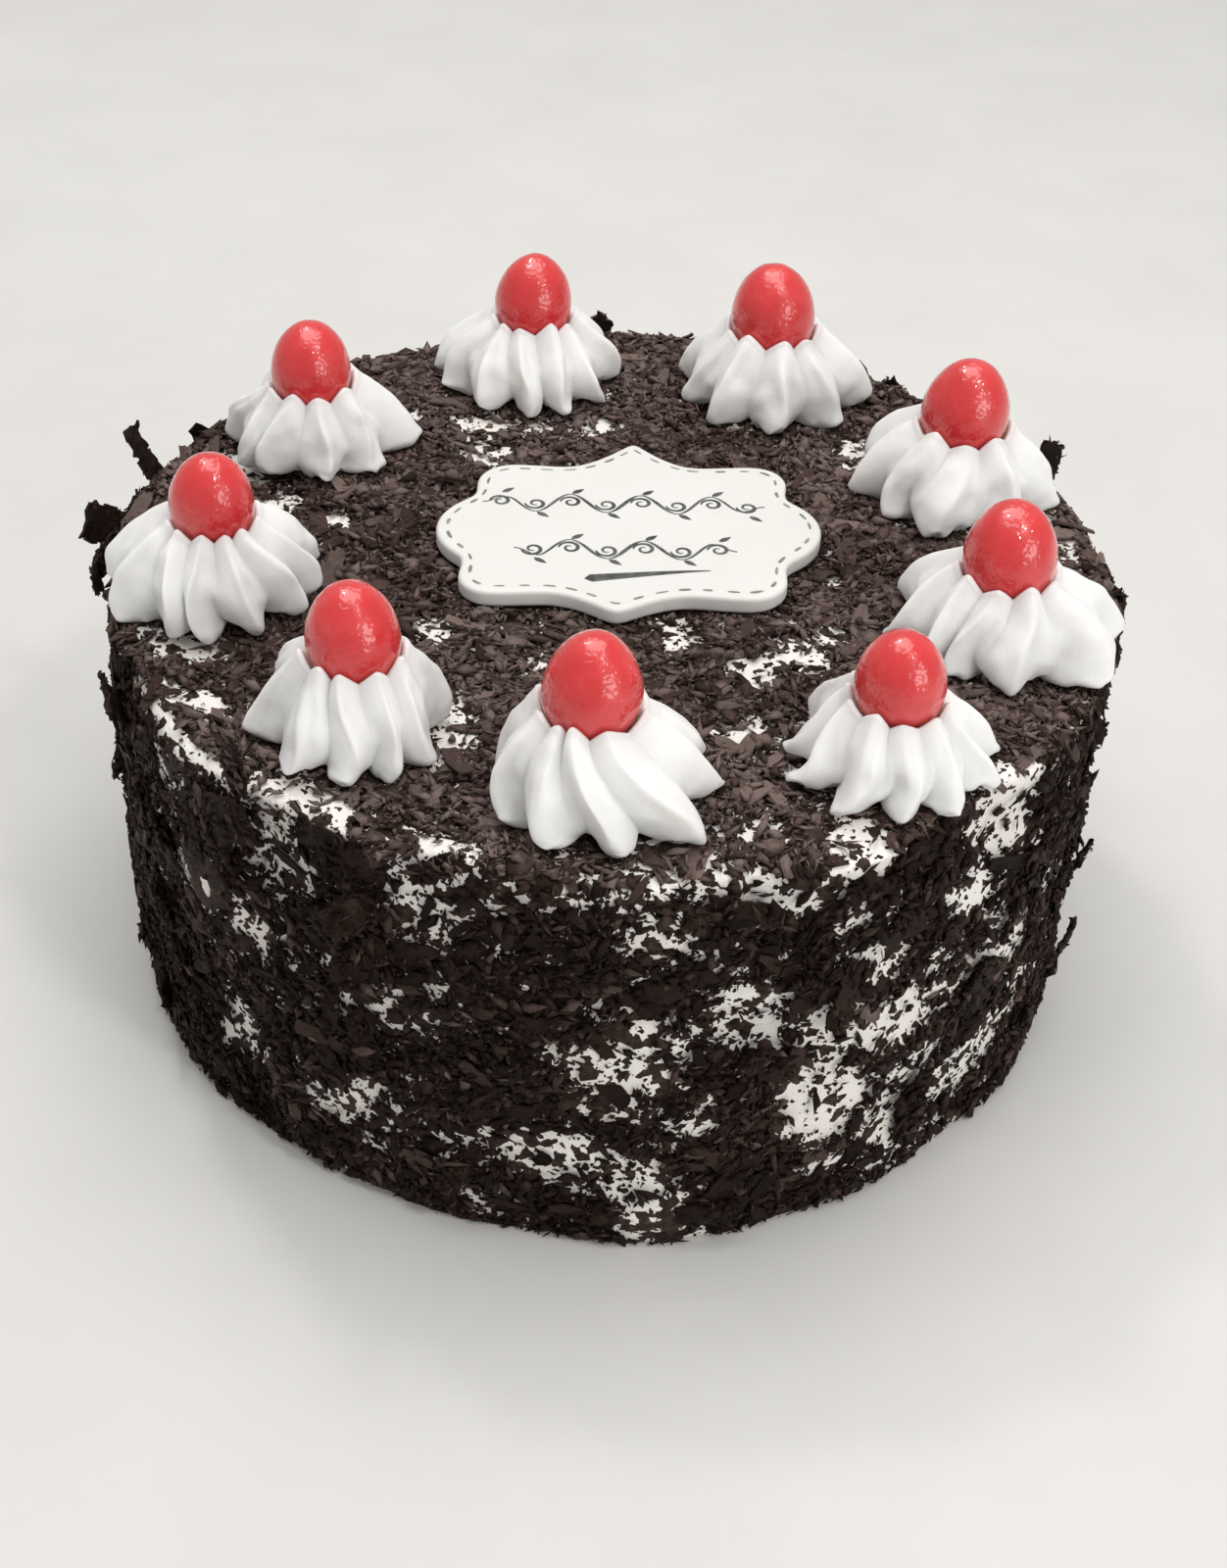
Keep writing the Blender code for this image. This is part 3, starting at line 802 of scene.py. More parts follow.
        step = (lobes[after, 0] - lobes[lobe, 0]) % 360
        swing = sways * np.sin(math.tau * (0.62 * share + 0.05)) + 0.5 * swirls * share
        swing = shape.sway * (swing[:, lobe] + (swing[:, after] - swing[:, lobe]) * ease)
        turn = np.radians(lobes[lobe, 0] + step * phase + rosette.twist * share + swing)
        rounds = np.radians([30, 65, 100, 140])[:, None]
        lip_mid = outer - 0.5 * shape.wall
        rim_radius = lip_mid + 0.5 * shape.wall * np.cos(rounds)
        rim_height = lip_top + 0.5 * shape.wall * np.sin(rounds)
        cups = [self.cherry.cup_point(rosette, lip, depth) for depth in np.linspace(1, 0.25, shape.cup_rows)]
        radius = np.concatenate([radius, rim_radius, np.stack([cup[0] for cup in cups])])
        height = np.concatenate([height, rim_height, np.stack([cup[1] for cup in cups])])
        turn = np.concatenate([turn, np.repeat(turn[-1:], len(rounds) + len(cups), axis=0)])
        return np.stack([radius * np.cos(turn), radius * np.sin(turn), height], axis=-1)

    def rosette_piece(self, rosette: Rosette, index: int) -> bpy.types.Object:
        """One rosette with slow lumps and a finer unevenness on it, closed below and in the cup."""
        rows = self.petal_rows(rosette, index)
        spread = np.linalg.norm(rows[..., :2], axis=-1, keepdims=True)
        outward = np.concatenate([rows[..., :2] / spread, np.zeros_like(spread)], axis=-1)
        away = rows + np.array([index * 0.1, 0, 0])
        lumps = 0.55 * soft_noise(away, 7 * MM, 5) + 0.22 * soft_noise(away, 3 * MM, 6)
        foot = smooth_step(-rows[..., 2], -3.0 * MM, 0.0)
        lumps += foot * (1.1 * soft_noise(away, 2.3 * MM, 7) - 0.2)
        fade = smooth_step(spread[..., 0], 9 * MM, 12 * MM)
        rows = rows + outward * (lumps * fade * MM)[..., None]
        rise = 0.35 * MM * soft_noise(away, 4 * MM, 9) * smooth_step(rows[..., 2], 8 * MM, 12 * MM) * fade
        ragged = 1.5 * MM * foot * fade * np.clip(soft_noise(away * (1, 1, 0), 3.2 * MM, 8), 0, 1)
        rows[..., 2] += rise + ragged
        place = np.array([*rosette.place, self.seat_height])
        low = place + (0, 0, -self.petal.sunk)
        lip = np.array(self.petal.valley_height)
        high = place + (0, 0, self.cherry.cup_point(rosette, lip, 0.0)[1])
        shell = closed_ring_shell(rows + place, low, high)
        return dress(shell.build(f"piped_rosette_{index}"), self.cream, Slot.CREAM, f"rosette_{index}")

    def cherry_piece(self, rosette: Rosette, index: int) -> bpy.types.Object:
        """One cherry: the egg's radius and height by its polar angle, with soft dents, leaning a little."""
        polar = np.linspace(math.pi, 0, 44)[1:-1, None]
        turn = np.linspace(0, math.tau, 72, endpoint=False)[None]
        rise = np.cos(polar) + 0 * turn
        girth = self.cherry.radius * self.cherry.girth(rise)
        egg = np.stack([girth * np.cos(turn), girth * np.sin(turn), self.cherry.half_height * rise], axis=-1)
        ends = np.array([[0, 0, -self.cherry.half_height], [0, 0, self.cherry.half_height]])
        egg = np.concatenate([egg.reshape(-1, 3), ends]) * rosette.cherry_share
        away = egg + np.array([0, index * 0.1, 0])
        dents = 0.016 * soft_noise(away, 6 * MM, 3) + 0.006 * soft_noise(away, 2.2 * MM, 4)
        egg = egg * (1 + dents - 0.012)[:, None]
        axis = Vector((math.cos(GOLDEN_TURN * index), math.sin(GOLDEN_TURN * index), 0))
        lean = np.array(Matrix.Rotation(math.radians(self.cherry.lean), 3, axis))
        place = np.array([*rosette.place, self.seat_height + self.cherry.centre + rosette.lift * MM])
        egg = egg @ lean.T + place
        rows = egg[:-2].reshape(len(polar), turn.shape[1], 3)
        shell = closed_ring_shell(rows, egg[-2], egg[-1])
        return dress(shell.build(f"glace_cherry_{index}"), self.red, Slot.CHERRY, f"cherry_{index}")

    def covered(self, points: np.ndarray, margin: float) -> np.ndarray:
        """Whether places are below a rosette's own outline, widened by a margin."""
        shape, hidden = self.petal, np.zeros(points.shape[:-1], bool)
        for rosette in ROSETTES:
            lobes = np.array(rosette.lobes)
            away = points[..., :2] - rosette.place
            heading = np.degrees(np.arctan2(away[..., 1], away[..., 0])) % 360
            order = np.argsort(lobes[:, 0])
            bearings, reaches = lobes[order, 0], lobes[order, 1]
            mids = bearings + 0.5 * ((np.roll(bearings, -1) - bearings) % 360)
            dips = shape.valley_foot * 0.5 * (reaches + np.roll(reaches, -1))
            stops = np.concatenate([bearings, mids % 360])
            depths = np.concatenate([reaches, dips])
            order = np.argsort(stops)
            outline = np.interp(heading, stops[order], depths[order], period=360) * MM
            hidden |= np.linalg.norm(away, axis=-1) < outline + margin
        return hidden

    def build(self) -> None:
        """Makes every rosette and its cherry."""
        for index, rosette in enumerate(ROSETTES, start=1):
            self.rosette_piece(rosette, index)
            self.cherry_piece(rosette, index)


@dataclass(frozen=True)
class PlaqueShape:
    """The plaque's half sizes, lobes, place and border.

    Args:
        half_depth: From its middle to the point at the back.
        front_depth: From its middle to the point at the front.
        flare: How much larger it grows to its right end, as a share.
        slant: How far it leans to the right, as a share of the depth.
    """

    half_width: float = 37.8 * MM
    half_depth: float = 34.4 * MM
    front_depth: float = 30.2 * MM
    thickness: float = 3.3 * MM
    edge_round: float = 0.9 * MM
    sunk: float = 0.3 * MM
    place: tuple[float, float] = (1.8 * MM, 4.1 * MM)
    turn: float = 2.2
    flare: float = 0.025
    slant: float = 0.075
    side_lobe: float = 13.0 * MM
    corner_lobe: float = 7.0 * MM
    corner_place: tuple[float, float] = (24.4 * MM, 17.6 * MM)
    ogee_half_width: float = 13.0 * MM
    ogee_power: float = 1.6
    outline_points: int = 360
    stitch_inset: float = 2.1 * MM
    stitch_length: float = 2.3 * MM
    stitch_width: float = 0.64 * MM
    stitch_pitch: float = 4.6 * MM
    ink_height: float = 0.07 * MM


def averaged(line: np.ndarray, times: int) -> np.ndarray:
    """Rounds a closed line: each point becomes half itself and a quarter of either neighbour, many times."""
    for _ in range(times):
        line = 0.5 * line + 0.25 * (np.roll(line, 1, axis=0) + np.roll(line, -1, axis=0))
    return line


def measured(line: np.ndarray) -> tuple[np.ndarray, np.ndarray]:
    """A line closed by its first point, and how far along it each of its points is."""
    closed = np.concatenate([line, line[:1]])
    steps = np.linalg.norm(np.diff(closed, axis=0), axis=1)
    return closed, np.concatenate([[0], np.cumsum(steps)])


class SugarPlaque:
    """The scalloped plaque with its stitched border and pen scrolls."""

    def __init__(self, seat_height: float, shape: PlaqueShape) -> None:
        """Works out the outline once for the plate, the border and the shavings round it."""
        self.shape = shape
        self.foot = seat_height
        self.outline = self.even_outline()
        step = unit(np.roll(self.outline, -1, axis=0) - np.roll(self.outline, 1, axis=0))
        self.inward = np.stack([-step[:, 1], step[:, 0]], axis=-1)

    def quarter(self, depth: float) -> np.ndarray:
        """A quarter of the outline: an arc for the side lobe, one for the corner, and an ogee to the point.

        Args:
            depth: How far the point is from the middle.

        Returns:
            Places from the side to the point.
        """
        shape = self.shape
        side, corner = np.radians(np.linspace(0, 62, 24)), np.radians(np.linspace(-22, 98, 24))
        lobe = np.stack([np.cos(side), np.sin(side)], -1) * shape.side_lobe
        lobe[:, 0] += shape.half_width - shape.side_lobe
        knob = np.stack([np.cos(corner), np.sin(corner)], -1) * shape.corner_lobe + shape.corner_place
        share = np.linspace(0, 1, 24)
        neck = knob[-1, 1] - 0.9 * MM
        rise = neck + (depth - neck) * share**shape.ogee_power
        return np.concatenate([lobe, knob, np.stack([shape.ogee_half_width * (1 - share), rise], -1)])

    def even_outline(self) -> np.ndarray:
        """The whole outline, anticlockwise, spaced evenly and averaged with its neighbours to round it, then
        flared: each place times one and a share that grows with its place across.
        """
        back, front = (self.quarter(depth) for depth in (self.shape.half_depth, self.shape.front_depth))
        upper, lower = (np.concatenate([part, part[-2::-1] * (-1, 1)]) for part in (back, front))
        line = np.concatenate([upper, lower[-2:0:-1] * (1, -1)])
        closed, length = measured(line)
        wanted = np.linspace(0, length[-1], self.shape.outline_points, endpoint=False)
        even = np.stack([np.interp(wanted, length, closed[:, axis]) for axis in (0, 1)], -1)
        even = averaged(even, 16)
        even = even * (1 + self.shape.flare * even[:, :1] / self.shape.half_width)
        even[:, 0] += self.shape.slant * even[:, 1]
        return even

    def placed(self, flat: np.ndarray, height: np.ndarray) -> np.ndarray:
        """Turns places on the plaque into places on the cake."""
        turn = math.radians(self.shape.turn)
        across = flat[..., 0] * math.cos(turn) - flat[..., 1] * math.sin(turn) + self.shape.place[0]
        away = flat[..., 0] * math.sin(turn) + flat[..., 1] * math.cos(turn) + self.shape.place[1]
        return np.stack([across, away, height + self.foot + 0 * across], axis=-1)

    def crown(self, flat: np.ndarray) -> np.ndarray:
        """The upper face's height: the thickness with a slow unevenness."""
        level = np.concatenate([flat, np.zeros((*flat.shape[:-1], 1))], axis=-1)
        return self.shape.thickness - 0.12 * MM + 0.12 * MM * soft_noise(level, 17 * MM, 21)

    def plate(self) -> bpy.types.Object:
        """The plate: the outline drawn in at each edge by a quarter circle, and shrunk to the middle."""
        shape, rows = self.shape, []
        corner = np.radians(np.linspace(0, 90, 6))
        for turn in corner[::-1]:
            inset = shape.edge_round * (1 - math.cos(turn))
            edge = self.outline + self.inward * inset
            rows.append((edge, shape.edge_round * (1 - math.sin(turn)) - shape.sunk))
        for turn in corner:
            inset = shape.edge_round * (1 - math.cos(turn))
            edge = self.outline + self.inward * inset
            rows.append((edge, self.crown(edge) - shape.edge_round * (1 - math.sin(turn))))
        rim = self.outline + self.inward * shape.edge_round
        for share in np.linspace(1, 0, 15)[1:-1]:
            rows.append((rim * share, self.crown(rim * share)))
        grid = np.stack([self.placed(flat, height) for flat, height in rows])
        middle = np.zeros((1, 2))
        low = self.placed(middle, np.array([-shape.sunk]))[0]
        high = self.placed(middle, self.crown(middle))[0]
        shell = closed_ring_shell(grid, low, high)
        return dress(shell.build("sugar_plaque"), SugarPaste().material(), Slot.SUGAR, "plaque")

    def stitch_border(self) -> bpy.types.Object:
        """The dashes: flattened ellipsoids at an even pitch along the outline drawn in."""
        shape = self.shape
        line = averaged(self.outline + self.inward * shape.stitch_inset, 12)
        closed, length = measured(line)
        count = round(length[-1] / shape.stitch_pitch)
        rng = np.random.default_rng(31)
        start = (np.arange(count) + rng.uniform(-0.12, 0.12, count)) * length[-1] / count
        dash = shape.stitch_length * rng.uniform(0.75, 1.15, count)
        part = np.linspace(0, 1, 9)
        run = (start[:, None] + dash[:, None] * part) % length[-1]
        middle = np.stack([np.interp(run, length, closed[:, axis]) for axis in (0, 1)], -1)
        girth = np.sin(math.pi * (0.08 + 0.84 * part)) ** 0.4
        width = shape.stitch_width * rng.uniform(0.75, 1.2, (count, 1)) * girth
        shells = [self.stroke(path, thick) for path, thick in zip(middle, width)]
        ink = PenInk("stitch_ink", (0.15, 0.148, 0.122), (0.34, 0.33, 0.28)).material()
        return dress(joined(shells).build("plaque_stitches"), ink, Slot.SUGAR, "plaque")

    def stroke(self, line: np.ndarray, width: np.ndarray) -> Shell:
        """A pen line: a flat ellipse carried along a path on the upper face, closed at both ends.

        Args:
            line: The path's points on the plaque.
            width: The line's width at each.

        Returns:
            The closed shell.
        """
        heading = unit(np.gradient(line, axis=0))
        aside = np.stack([heading[:, 1], -heading[:, 0]], axis=-1)
        turn = np.linspace(0, math.tau, 8, endpoint=False)
        flat = line[:, None] + aside[:, None] * (0.5 * width[:, None] * np.cos(turn))[..., None]
        swell = np.clip(width / np.max(width), 0.2, 1)
        height = self.crown(flat) + self.shape.ink_height * swell[:, None] * np.sin(turn)
        rows = self.placed(flat, height)
        low, high = (self.placed(line[end], self.crown(line[end])) for end in (0, -1))
        return closed_ring_shell(rows, low, high)

    def tendril(self, middle: tuple[float, float], side: float, reach: float) -> Shell:
        """A spiral inside a bend: its radius shrinks evenly while it turns one and a third times.

        Args:
            middle: The spiral's middle, in mm.
            side: 1 below a crest, -1 above a trough.
            reach: Its widest radius, in mm.

        Returns:
            The pen line's shell.
        """
        run = np.linspace(0, 1, 60)
        turn = math.pi - side * math.tau * 1.33 * run
        out = reach * (1 - 0.78 * run)
        line = np.stack([middle[0] + out * np.cos(turn), middle[1] + out * np.sin(turn)], -1)
        width = 0.28 + 0.50 * np.sin(math.pi * run**0.6)
        return self.stroke(line * MM, width * MM)

    def leaf(self, root: tuple[float, float], heading: float) -> Shell:
        """A small leaf from its root, in mm: a short straight line in degrees, widest before its middle."""
        run = np.linspace(0, 1, 16)
        turn = math.radians(heading)
        line = np.array(root) + 3.0 * run[:, None] * (math.cos(turn), math.sin(turn))
        return self.stroke(line * MM, (0.12 + 1.15 * np.sin(math.pi * run**0.8)) * MM)

    def vine(self, half: float, level: float, waves: int, swell: float) -> list[Shell]:
        """A running vine: a sine wave with a tendril inside each bend and a leaf outside it.

        Args:
            half: Half its length, in mm.
            level: Its place away from the viewer, in mm.
            waves: How many half waves each half has.
            swell: How far it swings, in mm.

        Returns:
            The pen lines' shells.
        """
        run = np.linspace(-1, 1, 60 * waves)
        swing = swell * np.clip(4 * (1 - np.abs(run)), 0, 1)
        line = np.stack([half * run, level + swing * np.sin(math.pi * waves * run)], -1)
        width = 0.34 + 0.56 * np.cos(math.pi * waves * run) ** 2 * np.clip(1.1 - np.abs(run), 0, 1)
        shells = [self.stroke(line * MM, width * MM)]
        for bend in np.arange(-waves, waves) + 0.5:
            across, side = half * bend / waves, math.copysign(1, math.sin(math.pi * bend))
            shells.append(self.tendril((across, level + 0.12 * side * swell), side, 0.30 * half / waves))
            shells.append(self.leaf((across + 0.3, level + side * (swell + 0.3)), 38 * side))
        return shells

    def pen_scrolls(self) -> bpy.types.Object:
        """The pen ornament: a long and a short running vine, and a swelling line below them."""
        shells = self.vine(28.0, 8.6, 4, 3.4) + self.vine(21.5, -8.4, 3, 3.2)
        run = np.linspace(0, 1, 60)
        line = np.stack([-8 + 24 * run, -18.8 + 5.0 * run - 1.6 * run**2], -1)
        shells.append(self.stroke(line * MM, (0.28 + 2.4 * (1 - run) ** 0.9 * np.minimum(1, 20 * run)) * MM))
        ink = PenInk("scroll_ink", (0.030, 0.032, 0.028), (0.13, 0.135, 0.12)).material()
        return dress(joined(shells).build("plaque_scrolls"), ink, Slot.SUGAR, "plaque")

    def covered(self, points: np.ndarray, margin: float) -> np.ndarray:
        """Whether places are below the plaque, widened by a margin, by its radius in each direction."""
        away = points[..., :2] - self.shape.place
        heading = np.arctan2(away[..., 1], away[..., 0]) - math.radians(self.shape.turn)
        bearings = np.arctan2(self.outline[:, 1], self.outline[:, 0])
        order = np.argsort(bearings)
        reach = np.linalg.norm(self.outline, axis=1)[order]
        edge = np.interp(heading, bearings[order], reach, period=math.tau)
        return np.linalg.norm(away, axis=-1) < edge + margin

    def build(self) -> None:
        """Makes the plate, its border and its ornament."""
        self.plate()
        self.stitch_border()
        self.pen_scrolls()


def joined(shells: list[Shell]) -> Shell:
    """One shell from many, each one's faces moved on by the points before it."""
    starts = np.cumsum([0] + [len(shell.points) for shell in shells[:-1]])
    points = np.concatenate([shell.points for shell in shells])
    quads = np.concatenate([shell.quads + start for shell, start in zip(shells, starts)])
    triangles = np.concatenate([shell.triangles + start for shell, start in zip(shells, starts)])
    return Shell(points, quads, triangles)


@dataclass(frozen=True)
class BareSpot:
    """An oval patch where the cream shows.

    Args:
        centre: Its middle.
        along: Its level direction.
        up: Its other direction.
        half_along: Half its size along the first.
        half_up: Half its size along the second.
        clean: The most depth that it counts for, less where crumb lies all over it.
    """

    centre: np.ndarray
    along: np.ndarray
    up: np.ndarray
    half_along: float
    half_up: float
    clean: float

    def depth(self, points: np.ndarray) -> np.ndarray:
        """How far inside the oval places are: one less the share of its half sizes, times its mean size."""
        away = points - self.centre
        across = away @ self.along / self.half_along
        rise = away @ self.up / self.half_up
        sunk = away @ np.cross(self.along, self.up) / (2 * max(self.half_along, self.half_up))
        share = np.sqrt(across**2 + rise**2 + sunk**2)
        return np.minimum(math.sqrt(self.half_along * self.half_up) * (1 - share), self.clean)


# The bare patches that show most, in degrees and mm: angle, height, half width, half height, lean.
SIDE_SPOTS = (
    (-110, 84, 4, 3, 0), (-104, 80, 3, 3, 0), (-108, 73, 3, 4, 20), (-79, 84.5, 4.5, 3.5, 0),
    (-74, 83, 3, 4.5, 10), (-84, 86, 3.5, 2, 0), (-85, 75, 4.5, 3.5, 0), (-80.5, 68.5, 4.5, 3.5, 0),
    (-71, 79, 5.5, 2.8, 0), (-75, 58.5, 4.5, 3, 20), (-92, 84, 4, 2, 0), (-141, 59, 3, 5, 30),
    (-130, 53, 3.5, 9, -20), (-118.5, 58, 3, 4, 20), (-116.5, 48, 6, 3.5, 20), (-110, 50, 5, 4, 20),
    (-135, 23.5, 5, 7, 15), (-125.5, 15, 4, 5, 0), (-116, 23, 10, 5, 10), (-115, 12.5, 3, 2, 0),
    (-104.5, 8, 4.5, 2, 0), (-104, 21, 4.5, 3, 0), (-98.5, 26, 4, 5, 0), (-90.5, 19, 13, 7, -20),
    (-88.5, 35, 5.5, 3, -15), (-86, 46.5, 11, 7.5, 15), (-82.5, 64.5, 7, 3.5, 15), (-73, 48, 8, 3.5, -35),
    (-72, 56, 5, 3.5, -30), (-65, 30, 8, 11, 20), (-64.5, 48, 5.5, 5, -20), (-58, 44.5, 7.5, 6, 0),
    (-47, 31, 5, 6, 20), (-61, 60, 5.5, 4, -40), (-55, 69.5, 3, 2, 0), (-52, 22, 11, 11, 35),
    (-50, 43, 2.5, 5, 10), (-43, 42, 5, 6, 15), (-39.5, 49, 5, 9, 30), (-47, 65, 6, 3, -30),
    (-41.5, 73, 5, 6.5, 30), (-30, 52, 4, 5.5, 20), (-40, 18, 11, 6, 25), (-50, 11, 10, 3.5, 10),
    (-63, 12.5, 4.5, 2.2, 0), (-56, 6, 3.5, 2, 0), (-79, 29, 3, 2.5, 0),
)

# The same on the top, in mm: across, away, half width, half depth, lean in degrees.
TOP_SPOTS = (
    (-76, -36, 8, 3.5, -10), (-70, -52, 7, 4, -25), (-50, -78, 12, 4, -27), (-28, -90, 9, 3.5, -15),
    (46, -40, 3, 3, 0),
    (-34, -28, 4.5, 3.5, -40), (-27, -58, 3.5, 9, 10), (-56, 9, 3.5, 3.5, 0), (-67, 16, 4, 4.5, 0),
    (-76, 29, 3, 7, 30), (-45, 53, 3, 3, 0), (-29, 52, 6, 5, 0), (-16, 52, 5, 4, 0), (-5, 51, 4, 4, -20),
    (-28, 39, 5, 5, 0), (0, 42, 4, 2.5, 0), (49, 44, 3, 8, -10), (26, -36, 4, 6, 0), (34, -31, 5, 5.5, 20),
    (12, -30, 3, 3, 0), (-11, -38, 3, 2.5, 0), (24, -56, 5, 4, 0), (34, -73, 2.5, 2, 0),
    (43, -86, 6.5, 6.5, 0), (69, -66, 4, 9, -40), (90, 14, 2.5, 7, 0), (41, -25, 2, 2, 0),
)


@dataclass
class Bed:
    """The coat that the shavings are pressed into: a turned side, a rounded rim and a top, all uneven.

    Args:
        relief_depth: How far each slow wave stands out.
        top_sink: The relief's share by which the top is sunk.
        crust: How far small pieces may stand out of the side.
        bare_depth: How far the skin is sunk where it is bare.
        rim_band: The clean band under the rim, from and to these directions in degrees.
        rim_level: The band's height.
        rim_width: Half its height.
        rim_clean: The most depth that it counts for.
        lacy: The most depth that a side spot counts for, where crumb lies all over it.
        clear: The same where the cream is clearer.
        clear_from: The direction in degrees from which it is.
        back_spots: How many seeded spots there are behind.
    """

    radius: float = 97.0 * MM
    height: float = 88.0 * MM
    rim_round: float = 3.2 * MM
    relief_waves: int = 9
    relief_depth: float = 0.45 * MM
    relief_longest: float = 60.0 * MM
    relief_shortest: float = 19.0 * MM
    top_sink: float = 0.6
    crust: float = 2.2 * MM
    bare_depth: float = 1.1 * MM
    rim_band: tuple[float, float] = (-154.0, -116.0)
    rim_level: float = 86.6 * MM
    rim_width: float = 2.1 * MM
    rim_clean: float = 2.6 * MM
    lacy: float = 0.3 * MM
    clear: float = 1.5 * MM
    clear_from: float = -80.0
    back_spots: int = 50
    columns: int = 560
    spots: list[BareSpot] = field(default_factory=list)

    def __post_init__(self) -> None:
        """Lists the bare spots: those seen from the front, and seeded ones like them behind."""
        rng = np.random.default_rng(5)
        rows = list(SIDE_SPOTS)
        for _ in range(self.back_spots):
            size = rng.uniform(2.5, 11)
            rows.append((rng.uniform(-25, 200), rng.uniform(6, 86), size, size * rng.uniform(0.4, 0.9),
                         rng.uniform(-45, 45)))
        for angle, height, half_width, half_height, lean in rows:
            turn = math.radians(angle)
            outward = np.array([math.cos(turn), math.sin(turn), 0])
            level = np.array([-math.sin(turn), math.cos(turn), 0])
            centre = outward * self.radius + (0, 0, height * MM)
            clean = self.clear if angle > self.clear_from else self.lacy
            self.add_spot(centre, level, np.array([0.0, 0, 1]), (half_width, half_height), lean, clean)
        for across, away, half_width, half_depth, lean in TOP_SPOTS:
            centre, size = np.array([across * MM, away * MM, self.height]), (half_width, half_depth)
            self.add_spot(centre, np.array([1.0, 0, 0]), np.array([0, 1.0, 0]), size, lean, 2 * self.clear)

    def add_spot(self, centre: np.ndarray, level: np.ndarray, rise: np.ndarray, size: tuple[float, float],
                 lean: float, clean: float) -> None:
        """Adds an oval patch, its directions turned by its lean in the surface's own plane."""
        turn = math.radians(lean)
        along = level * math.cos(turn) + rise * math.sin(turn)
        up = rise * math.cos(turn) - level * math.sin(turn)
        self.spots.append(BareSpot(centre, along, up, size[0] * MM, size[1] * MM, clean))

    def on_top(self, points: np.ndarray) -> np.ndarray:
        """Whether places are as high as the top, within the rim's unevenness."""
        return points[..., 2] > self.height - 1.5 * MM

    def relief(self, points: np.ndarray) -> np.ndarray:
        """How far the bed stands proud: a sum of slow sine waves that cross the cake in spread directions."""
        total = np.zeros(points.shape[:-1])
        for wave in range(self.relief_waves):
            share = wave / (self.relief_waves - 1)
            length = self.relief_longest + (self.relief_shortest - self.relief_longest) * share
            lean, turn = 1 - 2 * share, GOLDEN_TURN * wave
            flat = math.sqrt(1 - 0.8 * lean * lean)
            way = np.array([flat * math.cos(turn), flat * math.sin(turn), 0.9 * lean])
            total += np.sin(math.tau * (points @ way) / length + 1.7 * wave)
        return self.relief_depth * total

    def bare(self, points: np.ndarray) -> np.ndarray:
        """How far inside bare cream a place is, in metres: the deepest of all spots, the rim's band and a
        scatter of flecks, seen through a ragged warp of the place itself.
        """
        warp = [1.5 * soft_noise(points, 5 * MM, 40 + axis) + 0.9 * soft_noise(points, 2 * MM, 50 + axis)
                for axis in range(3)]
        seen = points + np.stack(warp, axis=-1) * MM
        depth = np.full(points.shape[:-1], -1.0)
        for spot in self.spots:
            depth = np.maximum(depth, spot.depth(seen))
        depth = np.maximum(depth, self.rim_depth(0.6 * points + 0.4 * seen))
        flecks = (soft_noise(points, 2.6 * MM, 60) - 0.72) * 6 * MM
        clumps = 5 * MM * soft_noise(points, 17 * MM, 61)
        return np.maximum(depth, flecks + np.clip(clumps, -4 * MM, 1.2 * MM))

    def rim_depth(self, points: np.ndarray) -> np.ndarray:
        """How far inside the clean band under the rim: three times what is left to its ends and edges."""
        angle = np.degrees(np.arctan2(points[..., 1], points[..., 0]))
        low, high = self.rim_band
        ends = np.minimum(angle - low, high - angle) * math.radians(1) * self.radius
        inward = self.radius - np.linalg.norm(points[..., :2], axis=-1)
        drop = np.hypot(self.rim_level - points[..., 2], inward)
        return np.minimum(3 * np.minimum(ends, self.rim_width - drop), self.rim_clean)

    def line(self, run: np.ndarray) -> tuple[np.ndarray, np.ndarray, np.ndarray]:
        """The bed's upright section by the run along it: straight up, round the rim, then in to the axis.

        Args:
            run: How far along the section a place is.

        Returns:
            Its radius, its height and the angle of its outward line above level.
        """
        side, arc = self.height - self.rim_round, 0.5 * math.pi * self.rim_round
        lean = np.clip((run - side) / self.rim_round, 0, 0.5 * math.pi)
        inward = np.clip(run - side - arc, 0, None)
        radius = self.radius - self.rim_round * (1 - np.cos(lean)) - inward
        height = np.minimum(run, side) + self.rim_round * np.sin(lean)
        return np.clip(radius, 0, None), height, lean

    def face_at(self, turn: np.ndarray, run: np.ndarray) -> tuple[np.ndarray, np.ndarray]:
        """The bed's surface: the section turned, the side moved out by the relief and the top sunk by it.

        Args:
            turn: The direction from the axis.
            run: How far along the section.

        Returns:
            Places and outward lines.
        """
        radius, height, lean = self.line(run)
        outward = np.stack([np.cos(lean) * np.cos(turn), np.cos(lean) * np.sin(turn), np.sin(lean)], axis=-1)
        points = np.stack([radius * np.cos(turn), radius * np.sin(turn), height + 0 * turn], axis=-1)
        proud = self.relief(points)
        moved = points.copy()
        level = np.stack([np.cos(turn), np.sin(turn), 0 * turn], axis=-1)
        moved += level * (proud * np.cos(lean))[..., None]
        moved[..., 2] -= self.top_sink * np.abs(proud) * np.sin(lean)
        return moved, outward

    def scatter(self, face: Face, count: int, rng: np.random.Generator) -> tuple[np.ndarray, np.ndarray]:
        """Random seats, evenly by area, on the side or the top.

        Args:
            face: Which face.
            count: How many.
            rng: The draws.

        Returns:
            Places and outward lines.
        """
        turn = rng.uniform(-math.pi, math.pi, count)
        if face is Face.SIDE:
            return self.face_at(turn, rng.uniform(0, self.height, count))
        total = self.height - self.rim_round + 0.5 * math.pi * self.rim_round + self.radius - self.rim_round
        return self.face_at(turn, total - self.radius * np.sqrt(rng.uniform(0, 0.98, count)))

